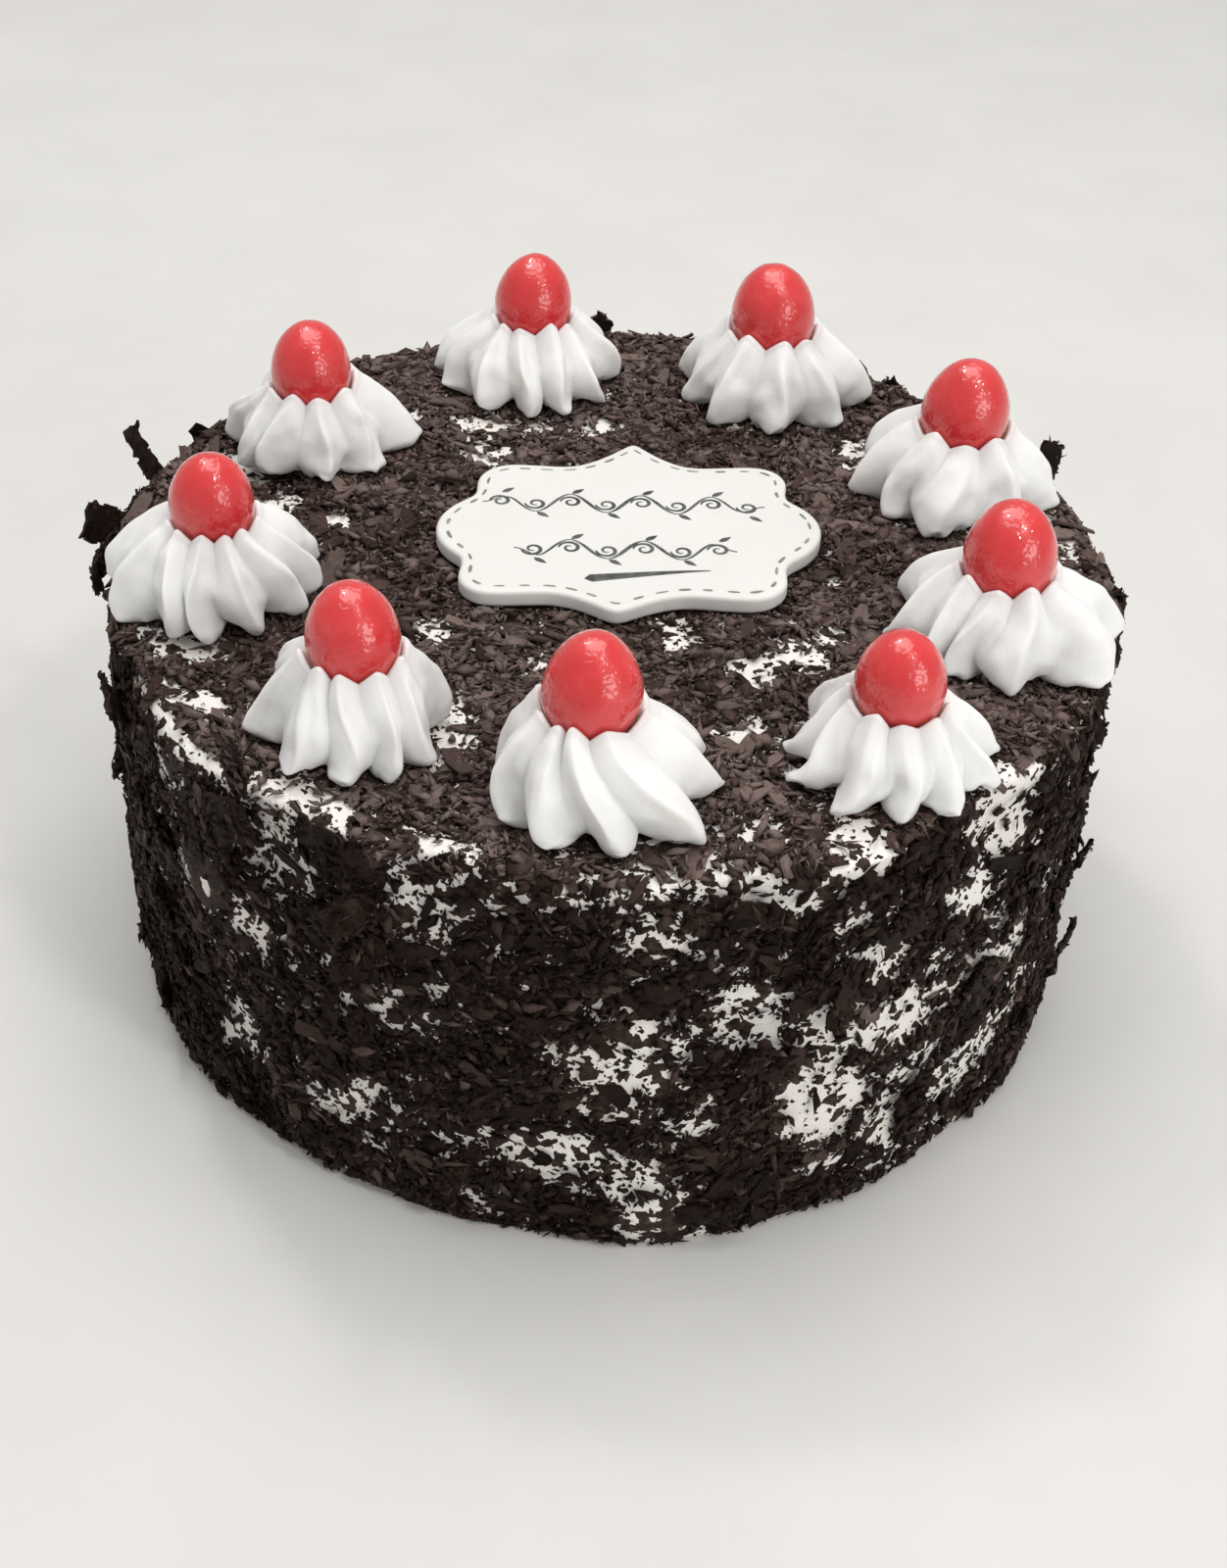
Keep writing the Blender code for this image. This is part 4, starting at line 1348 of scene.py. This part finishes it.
    def build(self) -> bpy.types.Object:
        """The coat's skin: sunk where it is bare, rough with crumb elsewhere, closed below."""
        side = np.linspace(0, self.height - self.rim_round, 78)
        arc_end = side[-1] + 0.5 * math.pi * self.rim_round
        rim = np.linspace(side[-1], arc_end, 7)[1:]
        top = arc_end + np.linspace(0, self.radius - self.rim_round - 30 * MM, 56)[1:]
        core = np.linspace(top[-1], arc_end + self.radius - self.rim_round, 8)[1:-1]
        run = np.concatenate([side, rim, top, core])[:, None]
        turn = np.linspace(0, math.tau, self.columns, endpoint=False)[None]
        points, outward = self.face_at(turn + 0 * run, run + 0 * turn)
        bare = self.bare(points)
        cover = smooth_step(-bare, 0.6 * MM, 2.2 * MM)
        crumb = 0.30 * soft_noise(points, 1.7 * MM, 70) + 0.30 * soft_noise(points, 3.4 * MM, 71)
        swell = 0.20 * soft_noise(points, 9 * MM, 72)
        off = -self.bare_depth + cover * (self.bare_depth - 0.55 * MM + crumb * MM) + swell * MM
        skin = points + outward * off[..., None]
        skin[0, :, 2] = 0.0
        high = np.array([0, 0, self.height - 0.6 * MM])
        shell = closed_ring_shell(skin, np.zeros(3), high)
        shell.marks["bare"] = np.concatenate([bare.ravel(), [-1, -1]]) / MM
        return dress(shell.build("cream_coat"), BedFinish().material(), Slot.CHOCOLATE, "cake")


@dataclass(frozen=True)
class PieceKind:
    """One kind of small piece: how many, and its spans in mm and degrees.

    Args:
        name: The piece's name.
        seed: Its draws.
        side: How many lie on the side.
        top: How many lie on the top.
        plates: How many lie on the large shavings.
        length: Shortest and longest, in mm.
        slimness: Least and most width, as a share of the length.
        lift: Lowest and highest seat over the bed, in mm.
        tilt: The most that it stands off the bed, in degrees.
        ragged: How far its points stray, as a share.
        strewn: The share of them that stays on bare cream.
    """

    name: str
    seed: int
    side: int
    top: int
    plates: int
    length: tuple[float, float]
    slimness: tuple[float, float]
    lift: tuple[float, float]
    tilt: float
    ragged: float
    strewn: float


@dataclass(frozen=True)
class SheetKind(PieceKind):
    """A kind that is thin and may be bent.

    Args:
        thickness: Its thickness in mm.
        curl: The most that it bends, in degrees.
    """

    thickness: float
    curl: float


BITS = (
    PieceKind("crumbs", 104, 11000, 11200, 1900, (0.8, 2.3), (0.6, 1.2), (-0.6, 0.35), 35, 0.24, 0.12),
    PieceKind("grit", 106, 8600, 9700, 3000, (0.4, 1.1), (0.6, 1.2), (-0.3, 0.45), 35, 0.24, 0.24),
    PieceKind("slivers", 101, 11600, 10600, 2600, (1.5, 5.2), (0.13, 0.31), (-0.3, 0.45), 24, 0.10, 0.10),
    PieceKind("shreds", 107, 9400, 6100, 1500, (2.0, 6.4), (0.23, 0.50), (-0.5, 0.4), 30, 0.18, 0.06),
)

CHIPS = SheetKind("chips", 102, 4100, 2300, 200, (2.2, 6.4), (0.40, 0.90), (-0.5, 0.4), 24, 0.26, 0.04,
                  0.34, 26)
STRIPS = SheetKind("shavings", 103, 700, 480, 0, (5.0, 12.0), (0.20, 0.42), (-0.4, 0.5), 16, 0.26, 0.04,
                   0.40, 34)


# Curls that stand off the rim and the side: angle, height, length and width in mm, then curl, turn, tilt.
LARGE_CURLS = (
    (174, 82, 16, 8, -25, 40, 30),
    (164, 84, 15, 6, -30, 80, 30),
    (-155, 76, 13, 8, -30, 60, 32),
    (-136, 76, 20, 10, -40, 20, 16),
    (-112, 80, 20, 12, -50, 175, 14),
    (-20, 14, 13, 7, -30, 60, 28),
    (-47, 34, 17, 7, -20, 60, 12),
)


@dataclass(frozen=True)
class LargeShaving:
    """One large shaving.

    Args:
        seat: Where it is rooted in the bed.
        outward: The line out of the bed there.
        length: Its length.
        width: Its width.
        curl: How far it bends.
        turn: How far it is turned about the outward line.
        tilt: How far it rises off the bed.
        strays: Shares of the length and the width by side and step along it.
    """

    seat: np.ndarray
    outward: np.ndarray
    length: float
    width: float
    curl: float
    turn: float
    tilt: float
    strays: np.ndarray

    def sheet(self, along: np.ndarray, across: np.ndarray, thickness: float, root: float) -> np.ndarray:
        """Its upper and lower faces: a strip bent on a circle, its edges carried by the strays.

        Args:
            along: Shares of the length, from 0 to 1.
            across: Shares of the width, from -0.5 to 0.5.
            thickness: How thick it is.
            root: How far it is sunk in the bed.

        Returns:
            Places by face, step along, step across and axis.
        """
        steps = np.linspace(0, 1, self.strays.shape[1])
        edges = np.stack([[np.interp(along, steps, self.strays[side, :, part]) for part in (0, 1)]
                          for side in (0, 1)])
        share = (across + 0.5)[None]
        stretch = edges[0, 0][:, None] * (1 - share) + edges[1, 0][:, None] * share
        spread = edges[0, 1][:, None] * (1 - share) + edges[1, 1][:, None] * share
        radius = self.length / self.curl
        turn = along[:, None] * stretch * self.length / radius
        width = across[None] * spread * self.width
        faces = []
        for depth in (0.0, thickness):
            bent = radius - depth
            faces.append(np.stack([bent * np.sin(turn), width, radius - bent * np.cos(turn)], axis=-1))
        outward = Vector(self.outward)
        lift = outward.to_track_quat("Z", "Y").to_matrix()
        turned = lift @ Matrix.Rotation(self.turn, 3, "Z") @ Matrix.Rotation(-self.tilt, 3, "Y")
        return np.stack(faces) @ np.array(turned).T + self.seat - self.outward * root


@dataclass(frozen=True)
class LargeShavingPlan:
    """The plan of the large shavings that the solid cake carries too, from the same seeded draws.

    Args:
        thickness: How thick the solid's are.
        thin: How thick the ones made here are.
        root: How far they are sunk in the bed.
        reach: The furthest that a corner may be from the axis.
        clearance: The least gap to a topping.
        spread: The steps that spread them evenly, as shares of a turn and of the height.
        tries: How many seats are tried for each one.
    """

    bed: Bed
    plaque: PlaqueShape
    seed: int = 11
    side: int = 118
    top: int = 40
    thickness: float = 0.8 * MM
    thin: float = 0.55 * MM
    root: float = 0.3 * MM
    longest: float = 19.0 * MM
    shortest: float = 8.0 * MM
    reach: float = 101.5 * MM
    clearance: float = 1.2 * MM
    floor_clearance: float = 0.6 * MM
    spread: tuple[float, float] = (0.7548776662, 0.5698402910)
    tries: int = 4

    def clear_of_toppings(self, points: np.ndarray, clearance: float) -> np.ndarray:
        """Whether places on the top lie outside every rosette's circle and the plaque's oval."""
        free = np.ones(points.shape[:-1], bool)
        for rosette in ROSETTES:
            free &= np.linalg.norm(points[..., :2] - rosette.place, axis=-1) >= rosette.reach + clearance
        half = np.array([self.plaque.half_width, self.plaque.half_depth]) + clearance
        share = (points[..., :2] - self.plaque.place) / half
        return free & ((share**2).sum(axis=-1) > 1)

    def seat(self, face: Face, angle: float, place: float) -> tuple[np.ndarray, np.ndarray]:
        """The bed's point and outward line, by height on the side and by radius on the top."""
        level = np.array([math.cos(angle), math.sin(angle), 0.0])
        if face is Face.SIDE:
            point = level * self.bed.radius + (0, 0, place)
            return point + level * self.bed.relief(point), level
        point = level * place + (0, 0, self.bed.height)
        if self.clear_of_toppings(point, 0.0):
            point[2] -= self.bed.top_sink * abs(self.bed.relief(point))
        return point, np.array([0.0, 0.0, 1.0])

    def strays(self, rng: random.Random, length: float, curl: float) -> np.ndarray:
        """Draws how far a shaving's edge points stray, by side, step and share."""
        steps = 2 + round(abs(curl) * length / (9 * MM))
        draws = [rng.uniform(*span) for _ in range(2 * steps) for span in ((0.85, 1.0), (0.7, 1.1))]
        return np.array(draws).reshape(2, steps, 2)

    def stands_clear(self, shaving: LargeShaving) -> bool:
        """Whether it keeps off the floor and the toppings and inside the cake's reach."""
        steps = np.linspace(0, 1, shaving.strays.shape[1])
        corners = shaving.sheet(steps, np.array([-0.5, 0.5]), self.thickness, self.root).reshape(-1, 3)
        low = corners[:, 2] < self.floor_clearance
        wide = np.linalg.norm(corners[:, :2], axis=1) > self.reach
        above = corners[:, 2] > self.bed.height - 0.3 * MM
        blocked = above & ~self.clear_of_toppings(corners, self.clearance)
        return not (low | wide | blocked).any()

    def shavings(self) -> list[LargeShaving]:
        """The placed curls, then the side's and the top's shavings, spread evenly, the largest first."""
        rng, laid = random.Random(self.seed), []
        for angle, height, length, width, *turns in LARGE_CURLS:
            seat, outward = self.seat(Face.SIDE, math.radians(angle), height * MM)
            curl, turn, tilt = map(math.radians, turns)
            strays = self.strays(rng, length * MM, curl)
            laid.append(LargeShaving(seat, outward, length * MM, width * MM, curl, turn, tilt, strays))
        for face, wanted in ((Face.SIDE, self.side), (Face.TOP, self.top)):
            placed, count = 0, self.tries * wanted
            for index in range(count):
                first, second = (math.modf((index + 0.5) * step)[0] for step in self.spread)
                length = self.longest + (self.shortest - self.longest) * (index / count) ** 0.5
                width = length * rng.uniform(0.3, 0.5)
                curl = rng.choice((-1, 1)) * rng.uniform(0.1, 0.5)
                turn, tilt = rng.uniform(0, math.tau), math.radians(rng.uniform(3, 11))
                place = (0.03 + 0.95 * second) * self.bed.height
                if face is Face.TOP:
                    place = math.sqrt(second) * 0.99 * self.bed.radius
                seat, outward = self.seat(face, math.tau * first, place)
                strays = self.strays(rng, length, curl)
                shaving = LargeShaving(seat, outward, length, width, curl, turn, tilt, strays)
                if placed < wanted and self.stands_clear(shaving):
                    laid.append(shaving)
                    placed += 1
        return laid


@dataclass(frozen=True)
class Seats:
    """Where one kind's pieces lie: each one's place, axes, sizes and tone, and whether it stays."""

    place: np.ndarray
    axes: np.ndarray
    length: np.ndarray
    width: np.ndarray
    tone: np.ndarray
    kept: np.ndarray
    wanted: int


class Shavings:
    """All the chocolate on the bed, one joined mesh for each kind.

    Args:
        spare: How many seats are drawn for each one that is wanted.
        mostly_short: The power that makes short pieces more common than long ones.
        never_bare: What is taken off the bare depth, so that the large shavings are covered all over.
        tone: The usual tone of a small piece on the side and on the top; the side's is lower as painted shade
            and the top's higher as painted light.
        broad_tone: The least and most tone of a large shaving, and how much it gains on the top as painted
            light.
        strip_grid: How many points a strip has along and across.
    """

    spare: float = 2.4
    mostly_short: float = 1.9
    never_bare: float = 20 * MM
    tone: tuple[float, float] = (0.24, 0.72)
    broad_tone: tuple[float, float, float] = (0.04, 0.28, 0.38)
    strip_grid: tuple[int, int] = (6, 3)

    def __init__(self, bed: Bed, rosettes: CherryRosettes, plaque: SugarPlaque) -> None:
        """Keeps what the shavings lie on and must keep clear of."""
        self.bed = bed
        self.rosettes = rosettes
        self.plaque = plaque
        self.finish = ShavedChocolate("shaved_chocolate").material()
        self.plan = LargeShavingPlan(bed, plaque.shape)
        self.large = self.plan.shavings()

    def axes(self, outward: np.ndarray, turn: np.ndarray, tilt: np.ndarray, roll: np.ndarray) -> np.ndarray:
        """Each piece's own axes: level and up on the bed, turned about the outward line, tilted and rolled.

        Args:
            outward: The bed's outward lines.
            turn: Turns about them.
            tilt: How far each piece's length rises off the bed.
            roll: How far it rolls about its length.

        Returns:
            Three rows of axes for each piece.
        """
        rise = np.where(np.abs(outward[:, 2:]) > 0.9, np.array([[0.0, 1, 0]]), np.array([[0.0, 0, 1]]))
        level = unit(np.cross(rise, outward))
        upward = np.cross(outward, level)
        first = level * np.cos(turn)[:, None] + upward * np.sin(turn)[:, None]
        second = np.cross(outward, first)
        raised = first * np.cos(tilt)[:, None] + outward * np.sin(tilt)[:, None]
        normal = np.cross(raised, second)
        aside = second * np.cos(roll)[:, None] + normal * np.sin(roll)[:, None]
        return np.stack([raised, aside, np.cross(raised, aside)], axis=1)

    def clear(self, places: np.ndarray, reach: float) -> np.ndarray:
        """Whether pieces keep off the floor and the toppings and inside the cake's reach.

        Args:
            places: Points by piece, point and axis.
            reach: The furthest that a point may be from the axis.

        Returns:
            One answer for each piece.
        """
        low = places[..., 2] < 0.05 * MM
        wide = np.linalg.norm(places[..., :2], axis=-1) > reach
        margin = 0.15 * MM
        under = self.rosettes.covered(places, margin) | self.plaque.covered(places, margin)
        blocked = under & (places[..., 2] > self.bed.height - 0.2 * MM)
        return ~(low | wide | blocked).any(axis=1)

    def seated(self, kind: PieceKind, face: Face, rng: np.random.Generator) -> Seats:
        """Draws one kind's seats on a face of the cake: more than are wanted, because many are dropped.

        Args:
            kind: What kind.
            face: Which face of the cake.
            rng: The draws.

        Returns:
            The pieces' seats, sizes and axes.
        """
        wanted = {Face.SIDE: kind.side, Face.TOP: kind.top, Face.PLATES: kind.plates}[face]
        count = round(self.spare * wanted)
        on_plates = face is Face.PLATES
        seats, outward = self.on_plates(count, rng) if on_plates else self.bed.scatter(face, count, rng)
        share = rng.uniform(0, 1, count) ** self.mostly_short
        length = (kind.length[0] + (kind.length[1] - kind.length[0]) * share) * MM
        tilt = np.radians(kind.tilt * rng.uniform(-1, 1, count) * rng.uniform(0.2, 1, count))
        roll = np.radians(kind.tilt * rng.uniform(-1, 1, count))
        axes = self.axes(outward, rng.uniform(0, math.tau, count), tilt, roll)
        bare = self.bed.bare(seats) - (self.never_bare if on_plates else 0)
        sunk = smooth_step(bare, -1.5 * MM, 0.0) * self.bed.bare_depth * 0.6
        lift = rng.uniform(*kind.lift, count) * MM + 0.3 * np.abs(np.sin(tilt)) * length - sunk
        cover = smooth_step(-bare, -1.5 * MM, 4.2 * MM + 0.25 * length)
        kept = rng.uniform(0, 1, count) < kind.strewn + (1 - kind.strewn) * cover
        tone = self.tones_with_painted_light(seats, rng)
        width = length * rng.uniform(*kind.slimness, count)
        return Seats(seats + outward * lift[:, None], axes, length, width, tone, kept, wanted)

    def on_plates(self, count: int, rng: np.random.Generator) -> tuple[np.ndarray, np.ndarray]:
        """Random seats on the outer faces of the large shavings, evenly by area.

        Args:
            count: How many.
            rng: The draws.

        Returns:
            Places and outward lines.
        """
        steps = np.array([0.0, 0.25, 0.5, 0.75, 1.0])
        edges = np.array([-0.5, 0.5])
        grids = np.stack([plate.sheet(steps, edges, self.plan.thin, self.plan.root)[1]
                          for plate in self.large])
        area = np.array([plate.length * plate.width for plate in self.large])
        plate = rng.choice(len(self.large), count, p=area / area.sum())
        along, across = rng.uniform(0, 3.999, (count, 1)), rng.uniform(0.04, 0.96, (count, 1))
        step = along[:, 0].astype(int)
        part = along - step[:, None]
        near = grids[plate, step, 0] * (1 - part) + grids[plate, step + 1, 0] * part
        far = grids[plate, step, 1] * (1 - part) + grids[plate, step + 1, 1] * part
        way = grids[plate, step + 1, 0] - grids[plate, step, 0]
        outward = unit(np.cross(way, far - near))
        facing = np.einsum("ni,ni->n", outward, np.array([plate.outward for plate in self.large])[plate])
        return near * (1 - across) + far * across, outward * np.sign(facing)[:, None]

    def laid(self, seats: Seats, local: np.ndarray, reach: float) -> tuple[np.ndarray, np.ndarray]:
        """Puts pieces on their seats and keeps those that stand clear.

        Args:
            seats: Where they lie.
            local: Their own points by piece, point and axis.
            reach: The furthest that a point may be from the axis.

        Returns:
            The kept pieces' places, and their numbers.
        """
        places = seats.place[:, None] + np.einsum("npi,nij->npj", local, seats.axes)
        kept = seats.kept & self.clear(places, reach)
        order = np.flatnonzero(kept)[:seats.wanted]
        return places[order], order

    def tones_with_painted_light(self, seats: np.ndarray, rng: np.random.Generator) -> np.ndarray:
        """Each piece's tone: mostly dark, a few brown or dusty, in slow drifts over the cake, higher on the
        top as painted light and lower on the side as painted shade.
        """
        drift = 0.14 * soft_noise(seats, 22 * MM, 80)
        # Painted light and shade: pieces on the top start from a higher tone than those on the side, as light
        # from above would show them.
        base = np.where(self.bed.on_top(seats), self.tone[1], self.tone[0])
        return np.clip(base + drift + rng.normal(0, 0.21, len(seats)), 0.02, 0.98)

    def gathered(self, kind: PieceKind, faces: np.ndarray, local: Callable,
                 crease: float) -> bpy.types.Object:
        """Joins one kind's pieces from the side, the top and the large shavings into one mesh.

        Args:
            kind: What kind.
            faces: One piece's faces, all quads or all triangles.
            local: Makes the pieces' own points and flat map from their seats and draws.
            crease: Edges bent by more than this stay sharp.

        Returns:
            The joined piece.
        """
        rng = np.random.default_rng(kind.seed)
        places, tones_with_painted_light, sheets = [], [], []
        for face in Face:
            seats = self.seated(kind, face, rng)
            points, sheet = local(kind, seats, rng)
            sheet = sheet / MM + rng.uniform(0, 50, (len(sheet), 1, 2))
            reach = self.plan.reach if face is Face.PLATES else self.bed.radius + self.bed.crust
            kept, order = self.laid(seats, points, reach)
            places.append(kept)
            tones_with_painted_light.append(seats.tone[order])
            sheets.append(sheet[order])
        points, tone = np.concatenate(places), np.concatenate(tones_with_painted_light)
        each = points.shape[1]
        joined_faces = repeated(faces, each, len(points))
        none = np.empty((0, 4 if faces.shape[1] == 3 else 3), int)
        sides = (joined_faces, none) if faces.shape[1] == 4 else (none, joined_faces)
        shell = Shell(points.reshape(-1, 3), *sides, crease=crease)
        shell.marks["tone"] = np.repeat(tone, each)
        shell.sheet = np.concatenate(sheets).reshape(-1, 2)
        return dress(shell.build(f"chocolate_{kind.name}"), self.finish, Slot.CHOCOLATE, "cake")

    def bit_points(self, kind: PieceKind, seats: Seats, rng: np.random.Generator) -> tuple:
        """Crumbs and slivers: six strayed points at the ends of three axes, longest along the first."""
        count = len(seats.length)
        base = np.array([[1, 0, 0], [0, 1, 0], [-1, 0, 0], [0, -1, 0], [0, 0, 1], [0, 0, -1]], float)
        half = 0.5 * np.stack([seats.length, seats.width, seats.width * rng.uniform(0.5, 1.0, count)], -1)
        local = base * half[:, None] * rng.uniform(0.7, 1.2, (count, 6, 1))
        local += rng.normal(0, kind.ragged, (count, 6, 3)) * half[:, None]
        return local, local[..., :2]

    def bit_faces(self) -> np.ndarray:
        """The eight sides of six points at the ends of three axes."""
        ring = np.arange(4)
        after = (ring + 1) % 4
        upper = np.stack([ring, after, np.full(4, 4)], axis=-1)
        lower = np.stack([after, ring, np.full(4, 5)], axis=-1)
        return np.concatenate([upper, lower])

    def chip_points(self, kind: SheetKind, seats: Seats, rng: np.random.Generator) -> tuple:
        """Chips: the corners of a strayed hexagon, bent a little, above the same corners drawn in."""
        count, corners = len(seats.length), 6
        turn = math.tau * np.arange(corners) / corners + rng.uniform(-0.36, 0.36, (count, corners))
        out = 0.5 * rng.uniform(1 - 1.6 * kind.ragged, 1.15, (count, corners))
        along = out * np.cos(turn) * seats.length[:, None]
        across = out * np.sin(turn) * seats.width[:, None]
        bend = np.radians(rng.uniform(-kind.curl, kind.curl, (count, 1))) / seats.length[:, None]
        rise = bend * along**2 + rng.normal(0, 0.10 * MM, along.shape)
        thin = kind.thickness * MM * rng.uniform(0.6, 1.3, (count, 1))
        upper = np.stack([along, across, rise], axis=-1)
        lower = np.stack([along * 0.92, across * 0.92, rise - thin], axis=-1)
        return np.concatenate([upper, lower], axis=1), np.tile(upper[..., :2], (1, 2, 1))

    def chip_faces(self) -> np.ndarray:
        """A hexagon's upper and lower faces and the wall between them."""
        upper = np.array([[0, 1, 2], [0, 2, 3], [0, 3, 5], [3, 4, 5]])
        ring = np.arange(6)
        after = (ring + 1) % 6
        walls = [np.stack([ring, ring + 6, after + 6], -1), np.stack([ring, after + 6, after], -1)]
        return np.concatenate([upper, upper[:, ::-1] + 6, *walls])

    def strip_points(self, kind: SheetKind, seats: Seats, rng: np.random.Generator) -> tuple:
        """Bent strips: a point goes along an arc by its place in the length, and strays at the edges."""
        count = len(seats.length)
        steps = [np.linspace(-0.5, 0.5, number) for number in self.strip_grid]
        u, v = np.meshgrid(*steps, indexing="ij")
        bend = np.radians(rng.uniform(-kind.curl, kind.curl, (count, 1)))
        bend = np.where(np.abs(bend) < 0.05, 0.05, bend)
        along = u.ravel() + rng.uniform(-1, 1, (count, u.size)) * kind.ragged / self.strip_grid[0]
        across = v.ravel() + rng.uniform(-1, 1, (count, u.size)) * kind.ragged / self.strip_grid[1]
        taper = 1 - rng.uniform(0, 0.75, (count, 1)) * np.abs(2 * along) ** 2
        radius = seats.length[:, None] / bend
        turn = along * bend
        across = across * taper * seats.width[:, None]
        rise = radius * (1 - np.cos(turn)) + rng.normal(0, 0.09 * MM, along.shape)
        upper = np.stack([radius * np.sin(turn), across, rise], axis=-1)
        thin = kind.thickness * MM * rng.uniform(0.7, 1.3, (count, 1))
        lower = upper - np.stack([-thin * np.sin(turn), 0 * turn, thin * np.cos(turn)], axis=-1)
        flat = np.stack([along * seats.length[:, None], across], axis=-1)
        return np.concatenate([upper, lower], axis=1), np.concatenate([flat, flat], axis=1)

    def large_piece(self) -> bpy.types.Object:
        """The large shavings: each one's bent strip, waved a little, with ragged ends."""
        rng = np.random.default_rng(105)
        along, across = np.linspace(0, 1, 17), np.linspace(-0.5, 0.5, 7)
        places, tones_with_painted_light, sheets = [], [], []
        for index, shaving in enumerate(self.large):
            ends = along.copy()
            ends[-1] -= 0.02
            laid = shaving.sheet(ends, across, self.plan.thin, self.plan.root)
            seeded = laid + np.array([0, 0, 0.2 * index])
            wave = 0.65 * soft_noise(seeded[:1], 4.5 * MM, 90) + 0.36 * soft_noise(seeded[:1], 1.7 * MM, 91)
            laid = laid + shaving.outward * (wave * MM)[..., None]
            fray = rng.normal(0, 0.35 * MM, (1, len(along), len(across), 3))
            fray[:, 1:-1, 1:-1] *= 0.15
            places.append((laid + fray).reshape(-1, 3))
            least, most, painted_top_light = self.broad_tone
            # Painted light: a large shaving on the top gains tone, so it comes out lighter than one on the
            # side.
            tones_with_painted_light.append(rng.uniform(least, most) + painted_top_light * self.bed.on_top(shaving.seat))
            spans = np.meshgrid(along * shaving.length, across * shaving.width, indexing="ij")
            flat = np.stack(spans, axis=-1).reshape(-1, 2)
            sheets.append(np.tile(flat / MM + rng.uniform(0, 50, 2), (2, 1)))
        each = 2 * len(along) * len(across)
        quads = repeated(plate_quads(len(along), len(across)), each, len(places))
        shell = Shell(np.concatenate(places), quads, crease=math.radians(32))
        shell.marks["tone"] = np.repeat(tones_with_painted_light, each)
        shell.sheet = np.concatenate(sheets)
        finish = ShavedChocolate("broad_shavings", gloss=0.48, scrape=0.32 * MM).material()
        return dress(shell.build("chocolate_large_shavings"), finish, Slot.CHOCOLATE, "cake")

    def build(self) -> None:
        """Makes every kind of shaving."""
        for kind in BITS:
            self.gathered(kind, self.bit_faces(), self.bit_points, 0.0)
        self.gathered(CHIPS, self.chip_faces(), self.chip_points, 0.0)
        self.gathered(STRIPS, plate_quads(*self.strip_grid), self.strip_points, math.radians(28))
        self.large_piece()


@dataclass(frozen=True)
class Softbox:
    """An area light: its name, where it hangs, its side, its watts and its colour."""

    name: str
    place: tuple[float, float, float]
    size: float
    power: float
    tint: tuple[float, float, float]


SOFTBOXES = (
    Softbox("ceiling", (0.0, 0.15, 1.35), 1.1, 11.0, (1.0, 0.985, 0.96)),
    Softbox("lamp_left", (-0.36, 0.48, 1.20), 0.12, 2.1, (1.0, 0.98, 0.95)),
    Softbox("lamp_right", (0.50, -0.60, 1.15), 0.12, 2.9, (1.0, 0.98, 0.95)),
    Softbox("low_fill", (0.75, -0.80, 0.42), 0.5, 3.2, (1.0, 0.985, 0.96)),
)


@dataclass(frozen=True)
class Studio:
    """The floor, the soft lights and the camera at the photograph's angle, its lens and sensor in mm.

    Args:
        aim: What the lights point at.
        floor_drop: How far the floor lies below the cake, so that their faces don't coincide.
    """

    lens: float = 47.7
    eye: tuple[float, float, float] = (-0.00076, -0.3458, 0.3035)
    right: tuple[float, float, float] = (0.99920, 0.02000, 0.03462)
    up: tuple[float, float, float] = (-0.03957, 0.61906, 0.78435)
    forward: tuple[float, float, float] = (0.00574, 0.78509, -0.61936)
    sensor: float = 36.0
    aim: tuple[float, float, float] = (0.0, 0.0, 0.08)
    floor_half: float = 2.5
    floor_drop: float = 0.0001
    room_tint: tuple[float, float, float, float] = (1.0, 0.985, 0.96, 1.0)
    room_power: float = 0.46

    def floor(self) -> None:
        """A wide level sheet just below the cake's base."""
        half, level = self.floor_half, -self.floor_drop
        corners = ((-half, -half), (half, -half), (half, half), (-half, half))
        points = np.array([(*corner, level) for corner in corners])
        sheet = Shell(points, np.array([[0, 1, 2, 3]])).build("studio_floor")
        sheet.data.materials.append(StudioFloor().material())

    def hang(self, box: Softbox) -> None:
        """Hangs an area light, aimed at the cake's top."""
        light = bpy.data.lights.new(box.name, "AREA")
        light.size, light.energy, light.color = box.size, box.power, box.tint
        lamp = bpy.data.objects.new(box.name, light)
        facing = (Vector(self.aim) - Vector(box.place)).to_track_quat("-Z", "Y")
        lamp.matrix_world = Matrix.Translation(box.place) @ facing.to_matrix().to_4x4()
        bpy.context.scene.collection.objects.link(lamp)

    def camera(self) -> None:
        """The photograph's camera."""
        lens = bpy.data.cameras.new("photo_camera")
        lens.lens, lens.sensor_width, lens.clip_start = self.lens, self.sensor, 0.01
        obj = bpy.data.objects.new("photo_camera", lens)
        turn = Matrix([self.right, self.up, [-value for value in self.forward]]).transposed()
        obj.matrix_world = Matrix.Translation(self.eye) @ turn.to_4x4()
        bpy.context.scene.collection.objects.link(obj)
        bpy.context.scene.camera = obj

    def build(self) -> None:
        """Sets the stage."""
        self.floor()
        for box in SOFTBOXES:
            self.hang(box)
        world = bpy.data.worlds.new("soft_room")
        world.use_nodes = True
        background = world.node_tree.nodes["Background"]
        background.inputs["Color"].default_value = self.room_tint
        background.inputs["Strength"].default_value = self.room_power
        bpy.context.scene.world = world
        bpy.context.scene.view_settings.view_transform = "Standard"
        self.camera()


def main() -> None:
    """Builds the cake's pieces in order."""
    logging.basicConfig(level=logging.INFO, format="%(message)s")
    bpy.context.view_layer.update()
    bed = Bed()
    seat_height = bed.height + FIT_GAP
    rosettes = CherryRosettes(seat_height, CherryShape(), PetalShape())
    plaque = SugarPlaque(seat_height, PlaqueShape())
    bed.build()
    Shavings(bed, rosettes, plaque).build()
    rosettes.build()
    plaque.build()
    Studio().build()


if __name__ == "__main__":
    main()
